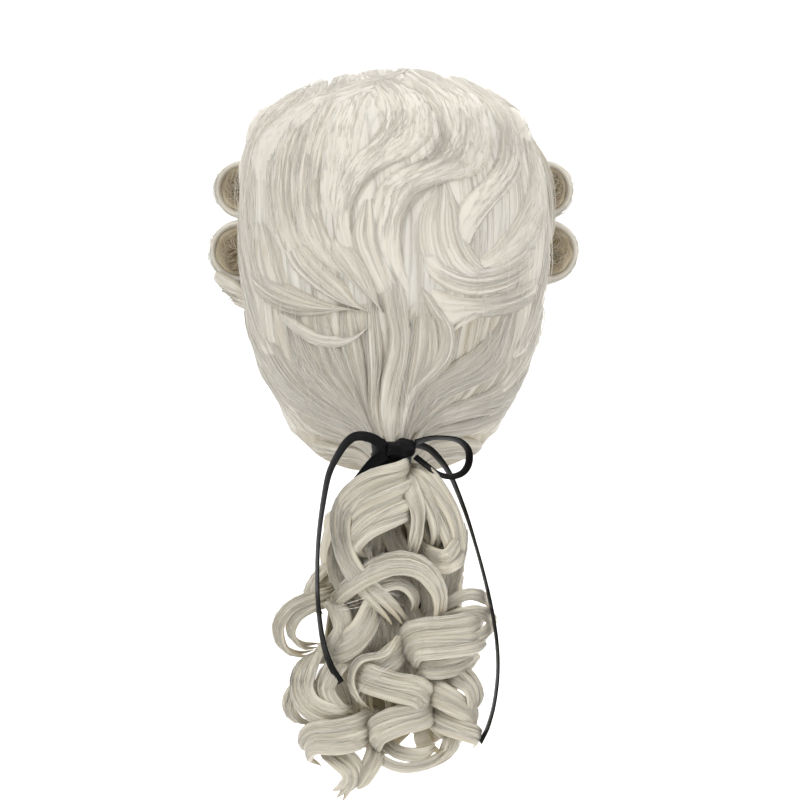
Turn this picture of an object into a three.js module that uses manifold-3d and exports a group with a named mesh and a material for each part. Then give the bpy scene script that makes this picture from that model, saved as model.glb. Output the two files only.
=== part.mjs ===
// A powdered gentleman's wig: a hollow head of white hair with swept waves, two rolled
// side curls over each ear, and a queue of loose ringlets tied at the nape with a black
// satin ribbon in a one-sided bow.
//
// Millimetres. +Z is up, +Y is the way the wearer faces and +X is the wearer's right.
// The origin is the seat: the highest point of the hollow, where the crown of the head
// presses. Everything hangs from there, as it does when the wig is worn.

import * as THREE from "three";
import { mergeVertices } from "three/addons/utils/BufferGeometryUtils.js";
import Module from "manifold-3d";

const wasm = await Module();
wasm.setup();

// The head that the wig is made for.
const headBreadth = 156;
const headLength = 196;

// The outside of the hair, measured from the seat.
const hairWidth = 206;
const hairRise = 25;
const hairDrop = 236;
const hairBack = 117;
const hairFront = 109;

// The hair's thickness at the hairline, beside the rolls, and where the upper layer ends.
const hairlineWall = 5;
const sideWall = 8;
const layerStep = 6;

// Side rolls: radius, length, bore and how far their rear ends stand out from the seat's axis.
const upperRollRadius = 17.5;
const lowerRollRadius = 19;
const rollLength = 62;
const rollWall = 7;
const rollWeb = 10;
const rollLip = 1.6;
const rollRear = 4;
const rollToeIn = THREE.MathUtils.degToRad(13);
const upperRollSide = hairWidth / 2 - 4;
const lowerRollSide = hairWidth / 2 - 2;
const upperRollDrop = 53;
const rollGap = 0.7;

// Queue: the gathered neck under the ribbon, and the bunch of ringlets below it.
const neckRadius = 10.5;
const neckAbove = 11;
const queueLength = 197;
const queueHalfWidth = 62.5;
const queueDepth = 60;

// Ribbon: its width and thickness, how far its loop reaches, how far its two free ends hang below
// the knot, and the wound band round the queue's neck.
const ribbonWidth = 8;
const ribbonThickness = 1;
const bowReach = 40;
const leftEndDrop = 145;
const rightEndDrop = 183;
const wrapHeight = 23;
const wrapWall = 2.6;
const knotWidth = 19;
const knotHeight = 13;
const knotDepth = 9;

// Where the ribbon's band sits: its middle, behind the nape and just above the hair's lower edge.
const tieSide = -1.5;
const tieBack = 0.765 * headLength * 0.5 + 23;
const tieDrop = hairDrop - 7.5;

// The gap kept between pieces that touch, and how far a surface may move where slivers are merged,
// on a finished piece and on loose hair before it is fitted.
const clearance = 0.3;
const sliver = 0.06;
const hairGive = 0.45;

const hairWhite = new THREE.MeshStandardMaterial({ color: 0xdcd8cc, roughness: 0.55, metalness: 0 });
const rollWhite = new THREE.MeshStandardMaterial({ color: 0xd6d1c3, roughness: 0.55, metalness: 0 });
const satinBlack = new THREE.MeshStandardMaterial({ color: 0x15171a, roughness: 0.35, metalness: 0 });

const degrees = THREE.MathUtils.degToRad;
const mix = THREE.MathUtils.lerp;
const smooth = THREE.MathUtils.smoothstep;

// Closed solids from rings

// A closed skin over rings of points that run right-handed about the way they advance, with a
// fan over each end to the points given.
function skin(rings, startPoint, endPoint) {
  const around = rings[0].length;
  const positions = rings.flat().flatMap((p) => [p.x, p.y, p.z]);
  const index = [];
  for (let j = 0; j < rings.length - 1; j++) {
    for (let i = 0; i < around; i++) {
      const a = j * around + i;
      const b = j * around + ((i + 1) % around);
      index.push(a, b, b + around, a, b + around, a + around);
    }
  }
  const start = rings.length * around;
  const lastRing = (rings.length - 1) * around;
  positions.push(startPoint.x, startPoint.y, startPoint.z, endPoint.x, endPoint.y, endPoint.z);
  for (let i = 0; i < around; i++) {
    const next = (i + 1) % around;
    index.push(start, next, i);
    index.push(start + 1, lastRing + i, lastRing + next);
  }
  const geometry = new THREE.BufferGeometry();
  geometry.setAttribute("position", new THREE.Float32BufferAttribute(positions, 3));
  geometry.setIndex(index);
  return geometry;
}

function middleOf(ring) {
  const sum = new THREE.Vector3();
  ring.forEach((p) => sum.add(p));
  return sum.divideScalar(ring.length);
}

function solidOf(geometry) {
  const bare = geometry.clone();
  bare.deleteAttribute("normal");
  bare.deleteAttribute("uv");
  const merged = mergeVertices(bare, 1e-4);
  return new wasm.Manifold(
    new wasm.Mesh({
      numProp: 3,
      vertProperties: new Float32Array(merged.attributes.position.array),
      triVerts: new Uint32Array(merged.index.array),
    }),
  );
}

// A solid's largest body, with any pocket sealed inside it filled.
function wholeOf(solid) {
  return solid.decompose().sort((a, b) => b.volume() - a.volume())[0];
}

function geometryOf(solid) {
  const mesh = wholeOf(solid).simplify(sliver).getMesh();
  const geometry = new THREE.BufferGeometry();
  geometry.setAttribute("position", new THREE.Float32BufferAttribute(mesh.vertProperties, 3));
  geometry.setIndex(new THREE.Uint32BufferAttribute(mesh.triVerts, 1));
  geometry.computeVertexNormals();
  return geometry;
}

// An upright round bar, as a solid.
function upright(radius, side, back, top, bottom, sides) {
  const bar = new THREE.CylinderGeometry(radius, radius, top - bottom, sides);
  bar.rotateX(degrees(90));
  bar.translate(side, -back, (top + bottom) / 2);
  return solidOf(bar);
}

// The head and the hair as stacks of sections

// Each row is one level: how far down it is, as a share of the whole height from the top, and the
// half width and the reach behind and in front of the seat's axis, as shares of the widest.
const headLevels = [
  { down: 0.0, half: 0.0, back: 0.0, front: 0.0 },
  { down: 0.018, half: 0.36, back: 0.35, front: 0.35 },
  { down: 0.07, half: 0.66, back: 0.65, front: 0.64 },
  { down: 0.15, half: 0.86, back: 0.86, front: 0.84 },
  { down: 0.26, half: 0.965, back: 0.965, front: 0.95 },
  { down: 0.38, half: 1.0, back: 1.0, front: 1.0 },
  { down: 0.5, half: 0.985, back: 0.98, front: 1.0 },
  { down: 0.62, half: 0.93, back: 0.92, front: 1.0 },
  { down: 0.74, half: 0.83, back: 0.85, front: 1.0 },
  { down: 0.87, half: 0.74, back: 0.795, front: 1.0 },
  { down: 1.0, half: 0.7, back: 0.765, front: 1.0 },
  { down: 1.12, half: 0.69, back: 0.75, front: 1.0 },
];
const hairLevels = [
  { down: 0.0, half: 0.0, back: 0.0, front: 0.0 },
  { down: 0.008, half: 0.22, back: 0.24, front: 0.24 },
  { down: 0.035, half: 0.5, back: 0.52, front: 0.52 },
  { down: 0.088, half: 0.77, back: 0.75, front: 0.76 },
  { down: 0.14, half: 0.88, back: 0.86, front: 0.88 },
  { down: 0.205, half: 0.945, back: 0.94, front: 0.96 },
  { down: 0.29, half: 0.99, back: 0.985, front: 1.0 },
  { down: 0.38, half: 1.0, back: 1.0, front: 1.0 },
  { down: 0.48, half: 0.985, back: 0.99, front: 0.97 },
  { down: 0.57, half: 0.955, back: 0.965, front: 0.95 },
  { down: 0.65, half: 0.93, back: 0.935, front: 0.95 },
  { down: 0.72, half: 0.885, back: 0.9, front: 0.95 },
  { down: 0.79, half: 0.81, back: 0.86, front: 0.95 },
  { down: 0.86, half: 0.735, back: 0.815, front: 0.95 },
  { down: 0.93, half: 0.67, back: 0.77, front: 0.95 },
  { down: 1.0, half: 0.62, back: 0.725, front: 0.95 },
];

// How far down the hair's edge lies at each turn from the middle of the back, in degrees: the
// nape, under the ear, the temple and the hairline on the forehead.
const hairline = [
  { turn: 0, down: 0.992 },
  { turn: 22, down: 1.0 },
  { turn: 40, down: 0.985 },
  { turn: 52, down: 0.955 },
  { turn: 64, down: 0.915 },
  { turn: 78, down: 0.855 },
  { turn: 92, down: 0.775 },
  { turn: 106, down: 0.685 },
  { turn: 118, down: 0.59 },
  { turn: 129, down: 0.48 },
  { turn: 140, down: 0.385 },
  { turn: 152, down: 0.335 },
  { turn: 166, down: 0.31 },
  { turn: 180, down: 0.305 },
];

// A smooth curve through a table's rows. Its input is the column named by, or the row's number.
function through(rows, columns, by) {
  const inputs = rows.map((row, i) => (by ? row[by] : i));
  const values = rows.flatMap((row) => columns.map((column) => row[column]));
  return new THREE.CubicInterpolant(inputs, values, columns.length);
}

const headByRow = through(headLevels, ["down", "half", "back", "front"]);
const headByDown = through(headLevels, ["half", "back", "front"], "down");
const hairByRow = through(hairLevels, ["down", "half", "back", "front"]);
const hairlineByTurn = through(hairline, ["down"], "turn");
const hairHeight = hairRise + hairDrop;

// A point of an oval section. The turn runs from the back, right-handed about +Z.
function ovalPoint(half, back, front, turn, z) {
  const depth = Math.cos(turn) > 0 ? back : front;
  return new THREE.Vector3(half * Math.sin(turn), -depth * Math.cos(turn), z);
}

function headPoint(turn, z, wall) {
  const [half, back, front] = headByDown.evaluate(Math.max(0.02, -z / hairDrop));
  return ovalPoint(
    (half * headBreadth) / 2 + wall,
    (back * headLength) / 2 + wall,
    (front * headLength) / 2 + wall,
    turn,
    z,
  );
}

// The row number of the hair's table at which the hair is that far down.
function rowAtDown(down) {
  let low = 0;
  let high = hairLevels.length - 1;
  for (let k = 0; k < 30; k++) {
    const middle = (low + high) / 2;
    if (hairByRow.evaluate(middle)[0] < down) low = middle;
    else high = middle;
  }
  return (low + high) / 2;
}

// Waves of the hair

// Each row is one swept wave or furrow: a curve over the hair through three places, each a turn in
// degrees from the middle of the back and a share of the height down, with its width as a share
// of the hair's width and its lift as a share of the hair's rise. A negative lift is a furrow.
const waves = [
  { name: "top_sweep_left", from: [-50, 0.08], over: [-6, 0.13], to: [-17, 0.24], wide: 0.17, lift: 0.26 },
  { name: "top_sweep_middle", from: [-8, 0.04], over: [20, 0.13], to: [-12, 0.27], wide: 0.16, lift: 0.26 },
  { name: "top_sweep_right", from: [30, 0.05], over: [42, 0.18], to: [12, 0.25], wide: 0.16, lift: 0.3 },
  { name: "right_shoulder", from: [58, 0.085], over: [54, 0.22], to: [26, 0.3], wide: 0.16, lift: 0.26 },
  { name: "right_edge", from: [72, 0.12], over: [66, 0.33], to: [34, 0.44], wide: 0.15, lift: 0.22 },
  { name: "s_lock_left", from: [9, 0.26], over: [-9, 0.38], to: [-2, 0.51], wide: 0.14, lift: 0.36 },
  { name: "s_lock_right", from: [14, 0.29], over: [1, 0.42], to: [20, 0.58], wide: 0.13, lift: 0.34 },
  { name: "s_lock_lower", from: [-8, 0.5], over: [3, 0.67], to: [-9, 0.82], wide: 0.11, lift: 0.3 },
  { name: "s_lock_end", from: [-9, 0.8], over: [-7, 0.86], to: [-3, 0.93], wide: 0.1, lift: 0.24 },
  { name: "right_lower_wave", from: [68, 0.46], over: [46, 0.53], to: [16, 0.5], wide: 0.15, lift: 0.3 },
  { name: "right_upper_wave", from: [66, 0.4], over: [44, 0.43], to: [22, 0.36], wide: 0.12, lift: 0.22 },
  { name: "left_edge", from: [-72, 0.15], over: [-70, 0.3], to: [-55, 0.55], wide: 0.13, lift: 0.24 },
  { name: "left_fall", from: [-50, 0.12], over: [-52, 0.27], to: [-36, 0.5], wide: 0.11, lift: 0.28 },
  { name: "left_inner_fall", from: [-38, 0.14], over: [-40, 0.3], to: [-8, 0.53], wide: 0.13, lift: 0.3 },
  { name: "left_of_middle", from: [-26, 0.13], over: [-26, 0.27], to: [-4, 0.56], wide: 0.11, lift: 0.26 },
  { name: "left_layer_tip", from: [-66, 0.46], over: [-52, 0.57], to: [-34, 0.54], wide: 0.12, lift: 0.26 },
  { name: "nape_crescent", from: [-46, 0.65], over: [-27, 0.7], to: [-9, 0.65], wide: 0.09, lift: 0.26 },
  { name: "right_flick", from: [17, 0.64], over: [26, 0.68], to: [36, 0.66], wide: 0.08, lift: 0.22 },
  { name: "nape_sweep_left", from: [-60, 0.65], over: [-40, 0.77], to: [-9, 0.91], wide: 0.11, lift: 0.26 },
  { name: "nape_sweep_right", from: [52, 0.64], over: [32, 0.75], to: [5, 0.88], wide: 0.12, lift: 0.28 },
  { name: "nape_hem_left", from: [-60, 0.86], over: [-42, 0.94], to: [-14, 0.94], wide: 0.1, lift: 0.2 },
  { name: "nape_hem_right", from: [60, 0.84], over: [42, 0.93], to: [14, 0.94], wide: 0.1, lift: 0.2 },
  { name: "left_furrow", from: [-60, 0.2], over: [-58, 0.31], to: [-50, 0.42], wide: 0.085, lift: -0.3 },
  { name: "top_furrow", from: [-32, 0.1], over: [-33, 0.18], to: [-35, 0.25], wide: 0.085, lift: -0.28 },
  { name: "right_furrow", from: [54, 0.19], over: [50, 0.27], to: [46, 0.34], wide: 0.085, lift: -0.26 },
  { name: "nape_furrow_left", from: [-7, 0.61], over: [-4, 0.68], to: [-4, 0.75], wide: 0.085, lift: -0.3 },
  { name: "nape_furrow_right", from: [5, 0.57], over: [13, 0.62], to: [19, 0.65], wide: 0.085, lift: -0.28 },
  { name: "nape_crease_right", from: [33, 0.71], over: [17, 0.77], to: [8, 0.84], wide: 0.08, lift: -0.24 },
  { name: "nape_crease_left", from: [-55, 0.85], over: [-48, 0.9], to: [-30, 0.93], wide: 0.08, lift: -0.24 },
];

// A place on the hair laid out flat, in millimetres.
const laidOut = ([turn, down]) => new THREE.Vector2((degrees(turn) * hairWidth) / 2, -down * hairHeight);

// Each wave as points along its curve, laid out flat.
const waveLines = waves.map((wave) => {
  const [from, over, to] = [wave.from, wave.over, wave.to].map(laidOut);
  const pull = over.clone().multiplyScalar(2).sub(from.clone().add(to).multiplyScalar(0.5));
  return new THREE.QuadraticBezierCurve(from, pull, to).getPoints(14);
});

function waveLift(turn, down) {
  const place = laidOut([THREE.MathUtils.radToDeg(turn), down]);
  let ridge = 0;
  let furrow = 0;
  waves.forEach((wave, i) => {
    const away = Math.min(...waveLines[i].map((p) => p.distanceTo(place)));
    const reach = (away * 2) / (wave.wide * hairWidth);
    if (reach >= 1) return;
    const lift = wave.lift * hairRise * (1 - reach * reach) ** 2;
    if (lift > 0) ridge = Math.max(ridge, lift);
    else furrow = Math.min(furrow, lift);
  });
  return ridge + furrow;
}

// The upper layer stands proud of the lower one, apart from the middle, where it runs on down.
const layerDown = 0.585;
const layerRamp = 0.026;
const runOnTurn = 10;
function layerLift(turn, down) {
  const turned = Math.abs(THREE.MathUtils.radToDeg(turn));
  const above = 1 - smooth(down, layerDown - layerRamp, layerDown + layerRamp);
  const layered = smooth(turned, runOnTurn, runOnTurn * 2) * (1 - smooth(turned, 80, 100));
  return layerStep * layered * (above - 1);
}

// The gathered hair swells out behind the nape until it meets the queue's neck.
const gatherTop = 0.7;
const gatherHalfTurn = 24;
function gatherLift(turn, down) {
  const near = 1 - smooth(Math.abs(THREE.MathUtils.radToDeg(turn)), 0, gatherHalfTurn);
  const [, , back] = hairByRow.evaluate(rowAtDown(down));
  const reach = Math.max(0, tieBack + neckRadius * 0.7 - back * hairBack);
  return near * reach * smooth(down, gatherTop, 0.88);
}

// Beside the rolls the hair lies close to the head, and swells again above, below and in front.
const rollsTop = upperRollDrop - upperRollRadius;
const rollsBottom = upperRollDrop + upperRollRadius + 2 * lowerRollRadius;
function besideRolls(turn, z) {
  const turned = Math.abs(THREE.MathUtils.radToDeg(turn));
  const round = smooth(turned, 80, 92) * (1 - smooth(turned, 128, 156));
  const below = smooth(-z, rollsTop - 30, rollsTop + 10);
  const above = 1 - smooth(-z, rollsBottom - 14, rollsBottom + 30);
  return round * below * above;
}

// A point of the hair's outside: share runs from 0 at the top to 1 at the hair's edge.
function hairPoint(turn, share) {
  const turned = Math.abs(THREE.MathUtils.radToDeg(turn));
  const [down, half, back, front] = hairByRow.evaluate(share * rowAtDown(hairlineByTurn.evaluate(turned)[0]));
  const z = hairRise - down * hairHeight;
  const lift = waveLift(turn, down) + layerLift(turn, down) + gatherLift(turn, down);
  const point = ovalPoint(
    (half * hairWidth) / 2 + lift,
    back * hairBack + lift,
    front * hairFront + lift,
    turn,
    z,
  );
  if (z > -0.02 * hairDrop) return point;
  point.lerp(headPoint(turn, z, sideWall), besideRolls(turn, z));
  const edge = smooth(share, 0.84, 1) * smooth(turned, 60, 110);
  return point.lerp(headPoint(turn, z, hairlineWall), edge);
}

// The turns of the mesh's columns: close together behind, wider apart in front.
const backColumns = 42;
const frontColumns = 18;
const backTurn = 104;
const columnTurns = [
  ...Array.from({ length: backColumns }, (_, i) => mix(-backTurn, backTurn, i / backColumns)),
  ...Array.from({ length: frontColumns }, (_, i) => mix(backTurn, 360 - backTurn, i / frontColumns)),
].map((turn) => degrees(turn > 180 ? turn - 360 : turn));
const hairRows = 30;
const headRows = 12;
const headColumns = 24;

function hairSolid() {
  const rings = [];
  for (let j = hairRows; j >= 1; j--) {
    rings.push(columnTurns.map((turn) => hairPoint(turn, (j - 0.4) / (hairRows - 0.4))));
  }
  const insideHead = new THREE.Vector3(0, 0, -0.8 * hairDrop);
  const top = new THREE.Vector3(0, 0, hairRise);
  return solidOf(skin(rings, insideHead, top));
}

// The hollow that the head fills, run on below the nape.
function headSolid() {
  const last = headLevels.length - 1;
  const rings = [];
  for (let j = headRows; j >= 1; j--) {
    const [down, half, back, front] = headByRow.evaluate((j / headRows) * last);
    const z = -down * hairDrop;
    rings.push(
      Array.from({ length: headColumns }, (_, i) =>
        ovalPoint(
          (half * headBreadth) / 2,
          (back * headLength) / 2,
          (front * headLength) / 2,
          (i / headColumns) * 2 * Math.PI,
          z,
        ),
      ),
    );
  }
  return solidOf(skin(rings, middleOf(rings[0]), new THREE.Vector3(0, 0, 0)));
}

// Rolled side curls

const lowerRollDrop = upperRollDrop + upperRollRadius + lowerRollRadius + rollLip * 2 + rollGap;
const rolls = [
  { name: "left_upper_roll", side: -1, out: upperRollSide, drop: upperRollDrop, radius: upperRollRadius },
  { name: "left_lower_roll", side: -1, out: lowerRollSide, drop: lowerRollDrop, radius: lowerRollRadius },
  { name: "right_upper_roll", side: 1, out: upperRollSide, drop: upperRollDrop, radius: upperRollRadius },
  { name: "right_lower_roll", side: 1, out: lowerRollSide, drop: lowerRollDrop, radius: lowerRollRadius },
];
const rollBevel = 1.8;
const rollSides = 22;
const boreSides = 12;

// A roll of hair is wound, so its outside grows by a lip in each turn and drops back at the seam.
// Hair stuffs it half way along, so it is hollow from both ends but not open right through.
function rollSolid(radius) {
  const outline = new THREE.Shape();
  for (let i = 0; i <= rollSides; i++) {
    const angle = (i / rollSides) * 2 * Math.PI * 0.97;
    const reach = radius - rollBevel + (rollLip * i) / rollSides;
    outline[i ? "lineTo" : "moveTo"](reach * Math.cos(angle), reach * Math.sin(angle));
  }
  outline.closePath();
  const bore = new THREE.Path();
  const boreRadius = radius - rollWall + rollBevel;
  for (let i = 0; i <= boreSides; i++) {
    const angle = (-i / boreSides) * 2 * Math.PI;
    bore[i ? "lineTo" : "moveTo"](boreRadius * Math.cos(angle), boreRadius * Math.sin(angle));
  }
  outline.holes.push(bore);
  const geometry = new THREE.ExtrudeGeometry(outline, {
    depth: rollLength - 2 * rollBevel,
    bevelSize: rollBevel,
    bevelThickness: rollBevel,
    bevelSegments: 1,
    curveSegments: 1,
  });
  const web = new THREE.CylinderGeometry(radius - rollWall + 1, radius - rollWall + 1, rollWeb, boreSides);
  web.rotateX(degrees(90));
  web.translate(0, 0, rollLength / 2);
  return solidOf(geometry.translate(0, 0, rollBevel)).add(solidOf(web));
}

// Turns a shape made along +Z so that it runs forward beside the head, toed in.
function placeRoll(object, roll) {
  const along = new THREE.Group();
  along.position.set(roll.side * roll.out, rollRear, -roll.drop);
  along.rotation.z = roll.side * rollToeIn;
  object.rotation.x = degrees(-90);
  along.add(object);
  return along;
}

// The seat that a roll presses into the hair.
function rollSeat(roll) {
  const reach = (roll.radius + rollLip + clearance) / Math.cos(Math.PI / rollSides);
  const length = rollLength + 2 * clearance;
  const bar = new THREE.CylinderGeometry(reach, reach, length, rollSides);
  bar.rotateX(degrees(90));
  bar.translate(0, 0, rollLength / 2);
  const placed = placeRoll(new THREE.Mesh(bar), roll);
  placed.updateMatrixWorld(true);
  return solidOf(bar.clone().applyMatrix4(placed.children[0].matrixWorld));
}

// Locks of loose hair

// A lock's skin: flat ovals along its line, thin where it starts and at its tip, with their broad
// side square to the way that the lock faces there.
function lockRings(line, facing, breadth, thickness, sides) {
  const steps = line.length - 1;
  return line.map((point, j) => {
    const share = j / steps;
    const ahead = line[Math.min(j + 1, steps)].clone().sub(line[Math.max(j - 1, 0)]).normalize();
    const out = facing[j].clone().addScaledVector(ahead, -facing[j].dot(ahead)).normalize();
    const across = out.clone().cross(ahead);
    const full = 0.5 * Math.min(1, 0.5 + 3 * share, 0.35 + 3.6 * (1 - share));
    return Array.from({ length: sides }, (_, i) => {
      const angle = (i / sides) * 2 * Math.PI;
      return point
        .clone()
        .addScaledVector(out, thickness * full * Math.cos(angle))
        .addScaledVector(across, -breadth * full * Math.sin(angle));
    });
  });
}

// Each row is one lock of the queue. Its line runs through the places listed, each a share of the
// queue's half width to the wearer's right, of its depth towards the back, and of its length down.
// Breadth and thickness are the lock's, and roll is the radius that its end is rolled up to, all
// as shares of half the queue's width.
const queueLocks = [
  {
    name: "mound",
    via: [[0, 0.5, 0], [-0.16, 0.85, 0.07], [-0.28, 0.95, 0.15], [-0.26, 0.85, 0.22]],
    breadth: 0.52,
    thickness: 0.18,
    roll: 0.14,
  },
  {
    name: "middle_strand",
    via: [[0.1, 0.55, 0], [0.2, 0.88, 0.07], [0.24, 0.98, 0.15], [0.2, 0.92, 0.23]],
    breadth: 0.22,
    thickness: 0.16,
    roll: 0.1,
  },
  {
    name: "left_strand",
    via: [
      [-0.1, 0.45, 0], [-0.36, 0.6, 0.05], [-0.52, 0.7, 0.14], [-0.52, 0.8, 0.25],
      [-0.3, 0.9, 0.35], [-0.04, 0.9, 0.41],
    ],
    breadth: 0.32,
    thickness: 0.16,
    roll: 0,
  },
  {
    name: "right_shoulder",
    via: [
      [0.14, 0.45, 0], [0.42, 0.62, 0.05], [0.58, 0.74, 0.13], [0.6, 0.8, 0.23],
      [0.5, 0.85, 0.31], [0.3, 0.85, 0.34],
    ],
    breadth: 0.4,
    thickness: 0.17,
    roll: 0,
  },
  {
    name: "hook",
    via: [
      [-0.5, 0.7, 0.28], [-0.28, 0.92, 0.35], [-0.05, 1, 0.31], [0.2, 1, 0.3],
      [0.4, 0.95, 0.35], [0.42, 0.9, 0.42], [0.3, 0.85, 0.48],
    ],
    breadth: 0.34,
    thickness: 0.17,
    roll: 0,
  },
  {
    name: "left_loop",
    via: [
      [-0.4, 0.5, 0.35], [-0.72, 0.62, 0.4], [-0.93, 0.68, 0.43], [-1, 0.62, 0.48],
      [-0.92, 0.5, 0.53], [-0.76, 0.45, 0.54],
    ],
    breadth: 0.28,
    thickness: 0.15,
    roll: 0,
  },
  {
    name: "inner_barrel",
    via: [[-0.2, 0.6, 0.36], [-0.36, 0.85, 0.41], [-0.45, 0.88, 0.46]],
    breadth: 0.4,
    thickness: 0.14,
    roll: 0.15,
  },
  {
    name: "right_curl",
    via: [
      [0.3, 0.4, 0.3], [0.62, 0.54, 0.36], [0.82, 0.66, 0.41], [0.86, 0.68, 0.47],
      [0.74, 0.62, 0.53],
    ],
    breadth: 0.44,
    thickness: 0.2,
    roll: 0,
  },
  {
    name: "right_barrel",
    via: [[0.36, 0.6, 0.36], [0.42, 0.88, 0.42], [0.45, 0.93, 0.48]],
    breadth: 0.62,
    thickness: 0.15,
    roll: 0.16,
  },
  {
    name: "crossing_lock",
    via: [
      [-0.2, 0.8, 0.42], [0.04, 0.95, 0.48], [0.12, 0.97, 0.54], [-0.04, 0.95, 0.58],
      [-0.26, 0.9, 0.62], [-0.32, 0.85, 0.68],
    ],
    breadth: 0.26,
    thickness: 0.15,
    roll: 0,
  },
  {
    name: "lower_left",
    via: [
      [-0.4, 0.5, 0.47], [-0.7, 0.7, 0.54], [-0.8, 0.8, 0.62], [-0.76, 0.85, 0.7],
      [-0.58, 0.85, 0.75],
    ],
    breadth: 0.42,
    thickness: 0.19,
    roll: 0,
  },
  {
    name: "left_bump",
    via: [[-0.55, 0.4, 0.6], [-0.84, 0.5, 0.68], [-0.9, 0.55, 0.74], [-0.74, 0.5, 0.79]],
    breadth: 0.32,
    thickness: 0.16,
    roll: 0,
  },
  {
    name: "lower_barrel",
    via: [[0, 0.6, 0.5], [0.02, 0.85, 0.57], [0.02, 0.9, 0.63]],
    breadth: 0.58,
    thickness: 0.15,
    roll: 0.17,
  },
  {
    name: "low_barrel",
    via: [[0.06, 0.55, 0.62], [0.08, 0.8, 0.69], [0.08, 0.85, 0.75]],
    breadth: 0.56,
    thickness: 0.15,
    roll: 0.17,
  },
  {
    name: "lower_right",
    via: [[0.4, 0.45, 0.5], [0.62, 0.7, 0.58], [0.72, 0.75, 0.66], [0.66, 0.7, 0.73]],
    breadth: 0.42,
    thickness: 0.18,
    roll: 0.1,
  },
  {
    name: "low_right",
    via: [[0.3, 0.4, 0.68], [0.56, 0.6, 0.74], [0.68, 0.65, 0.79], [0.56, 0.6, 0.84]],
    breadth: 0.34,
    thickness: 0.16,
    roll: 0,
  },
  {
    name: "bottom_barrel",
    via: [[-0.4, 0.5, 0.66], [-0.5, 0.75, 0.72], [-0.51, 0.8, 0.77]],
    breadth: 0.62,
    thickness: 0.15,
    roll: 0.17,
  },
  {
    name: "bottom_tip",
    via: [
      [-0.4, 0.5, 0.78], [-0.34, 0.6, 0.86], [-0.28, 0.6, 0.92], [-0.36, 0.55, 0.97],
      [-0.52, 0.5, 1],
    ],
    breadth: 0.4,
    thickness: 0.17,
    roll: 0,
  },
  {
    name: "bottom_right",
    via: [[-0.1, 0.45, 0.78], [0, 0.6, 0.87], [0.16, 0.65, 0.91], [0.34, 0.6, 0.9], [0.46, 0.5, 0.86]],
    breadth: 0.26,
    thickness: 0.15,
    roll: 0,
  },
  {
    name: "inside_left",
    via: [[-0.3, 0.3, 0.2], [-0.5, 0.2, 0.36], [-0.56, 0.15, 0.5], [-0.5, 0.12, 0.56]],
    breadth: 0.46,
    thickness: 0.16,
    roll: 0.16,
  },
  {
    name: "inside_right",
    via: [[0.3, 0.3, 0.16], [0.5, 0.2, 0.32], [0.54, 0.15, 0.44], [0.5, 0.12, 0.5]],
    breadth: 0.46,
    thickness: 0.16,
    roll: 0.16,
  },
  {
    name: "inside_low",
    via: [[-0.1, 0.3, 0.5], [-0.12, 0.15, 0.62], [-0.14, 0.12, 0.72]],
    breadth: 0.6,
    thickness: 0.16,
    roll: 0.18,
  },
];

const queueTop = -tieDrop - wrapHeight / 2;
const lockSides = 6;
const stepsAlong = 7;
const stepsRound = 5;
const roundTurn = degrees(285);

function queuePlace([side, back, down]) {
  return new THREE.Vector3(
    tieSide + side * queueHalfWidth,
    -tieBack + queueDepth * (0.42 - back),
    queueTop - down * queueLength,
  );
}

function queueLock({ via, breadth, thickness, roll }) {
  const curve = new THREE.CatmullRomCurve3(via.map(queuePlace), false, "centripetal");
  const line = [];
  const facing = [];
  for (let j = 0; j <= stepsAlong; j++) {
    const spot = curve.getPoint(j / stepsAlong);
    const away = new THREE.Vector3((spot.x - tieSide) * 0.6, (spot.y + tieBack) * 3, 0);
    line.push(spot);
    facing.push(away.normalize());
  }
  const ahead = curve.getTangent(1);
  const out = facing[stepsAlong].clone();
  out.addScaledVector(ahead, -out.dot(ahead)).normalize();
  for (let j = 1; roll && j <= stepsRound; j++) {
    const turn = (roundTurn * (j - 0.5)) / stepsRound;
    const reach = roll * queueHalfWidth * mix(1, 0.72, j / stepsRound);
    const stride = (reach * roundTurn) / stepsRound;
    const next = line[line.length - 1].clone();
    next.addScaledVector(ahead, stride * Math.cos(turn)).addScaledVector(out, -stride * Math.sin(turn));
    line.push(next);
    const turned = turn + (0.5 * roundTurn) / stepsRound;
    facing.push(out.clone().multiplyScalar(Math.cos(turned)).addScaledVector(ahead, Math.sin(turned)));
  }
  const rings = lockRings(line, facing, breadth * queueHalfWidth, thickness * queueHalfWidth, lockSides);
  return solidOf(skin(rings, middleOf(rings[0]), middleOf(rings[rings.length - 1])));
}

// The bunch inside the ringlets that they grow from, as round sections from the neck down.
const bunchLevels = [
  { down: -0.02, side: 0.0, half: 0.15, back: 0.42, depth: 0.15 },
  { down: 0.06, side: 0.02, half: 0.28, back: 0.5, depth: 0.24 },
  { down: 0.18, side: 0.04, half: 0.45, back: 0.48, depth: 0.32 },
  { down: 0.4, side: -0.02, half: 0.5, back: 0.46, depth: 0.33 },
  { down: 0.6, side: -0.08, half: 0.56, back: 0.46, depth: 0.32 },
  { down: 0.76, side: -0.06, half: 0.46, back: 0.46, depth: 0.28 },
  { down: 0.88, side: -0.12, half: 0.24, back: 0.48, depth: 0.18 },
];
const bunchSides = 12;

function bunchSolid() {
  const rings = bunchLevels
    .map((level) => {
      const middle = queuePlace([level.side, level.back, level.down]);
      return Array.from({ length: bunchSides }, (_, i) => {
        const turn = (i / bunchSides) * 2 * Math.PI;
        return new THREE.Vector3(
          middle.x + level.half * queueHalfWidth * Math.sin(turn),
          middle.y - level.depth * queueDepth * Math.cos(turn),
          middle.z,
        );
      });
    })
    .reverse();
  return solidOf(skin(rings, middleOf(rings[0]), middleOf(rings[rings.length - 1])));
}

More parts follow.
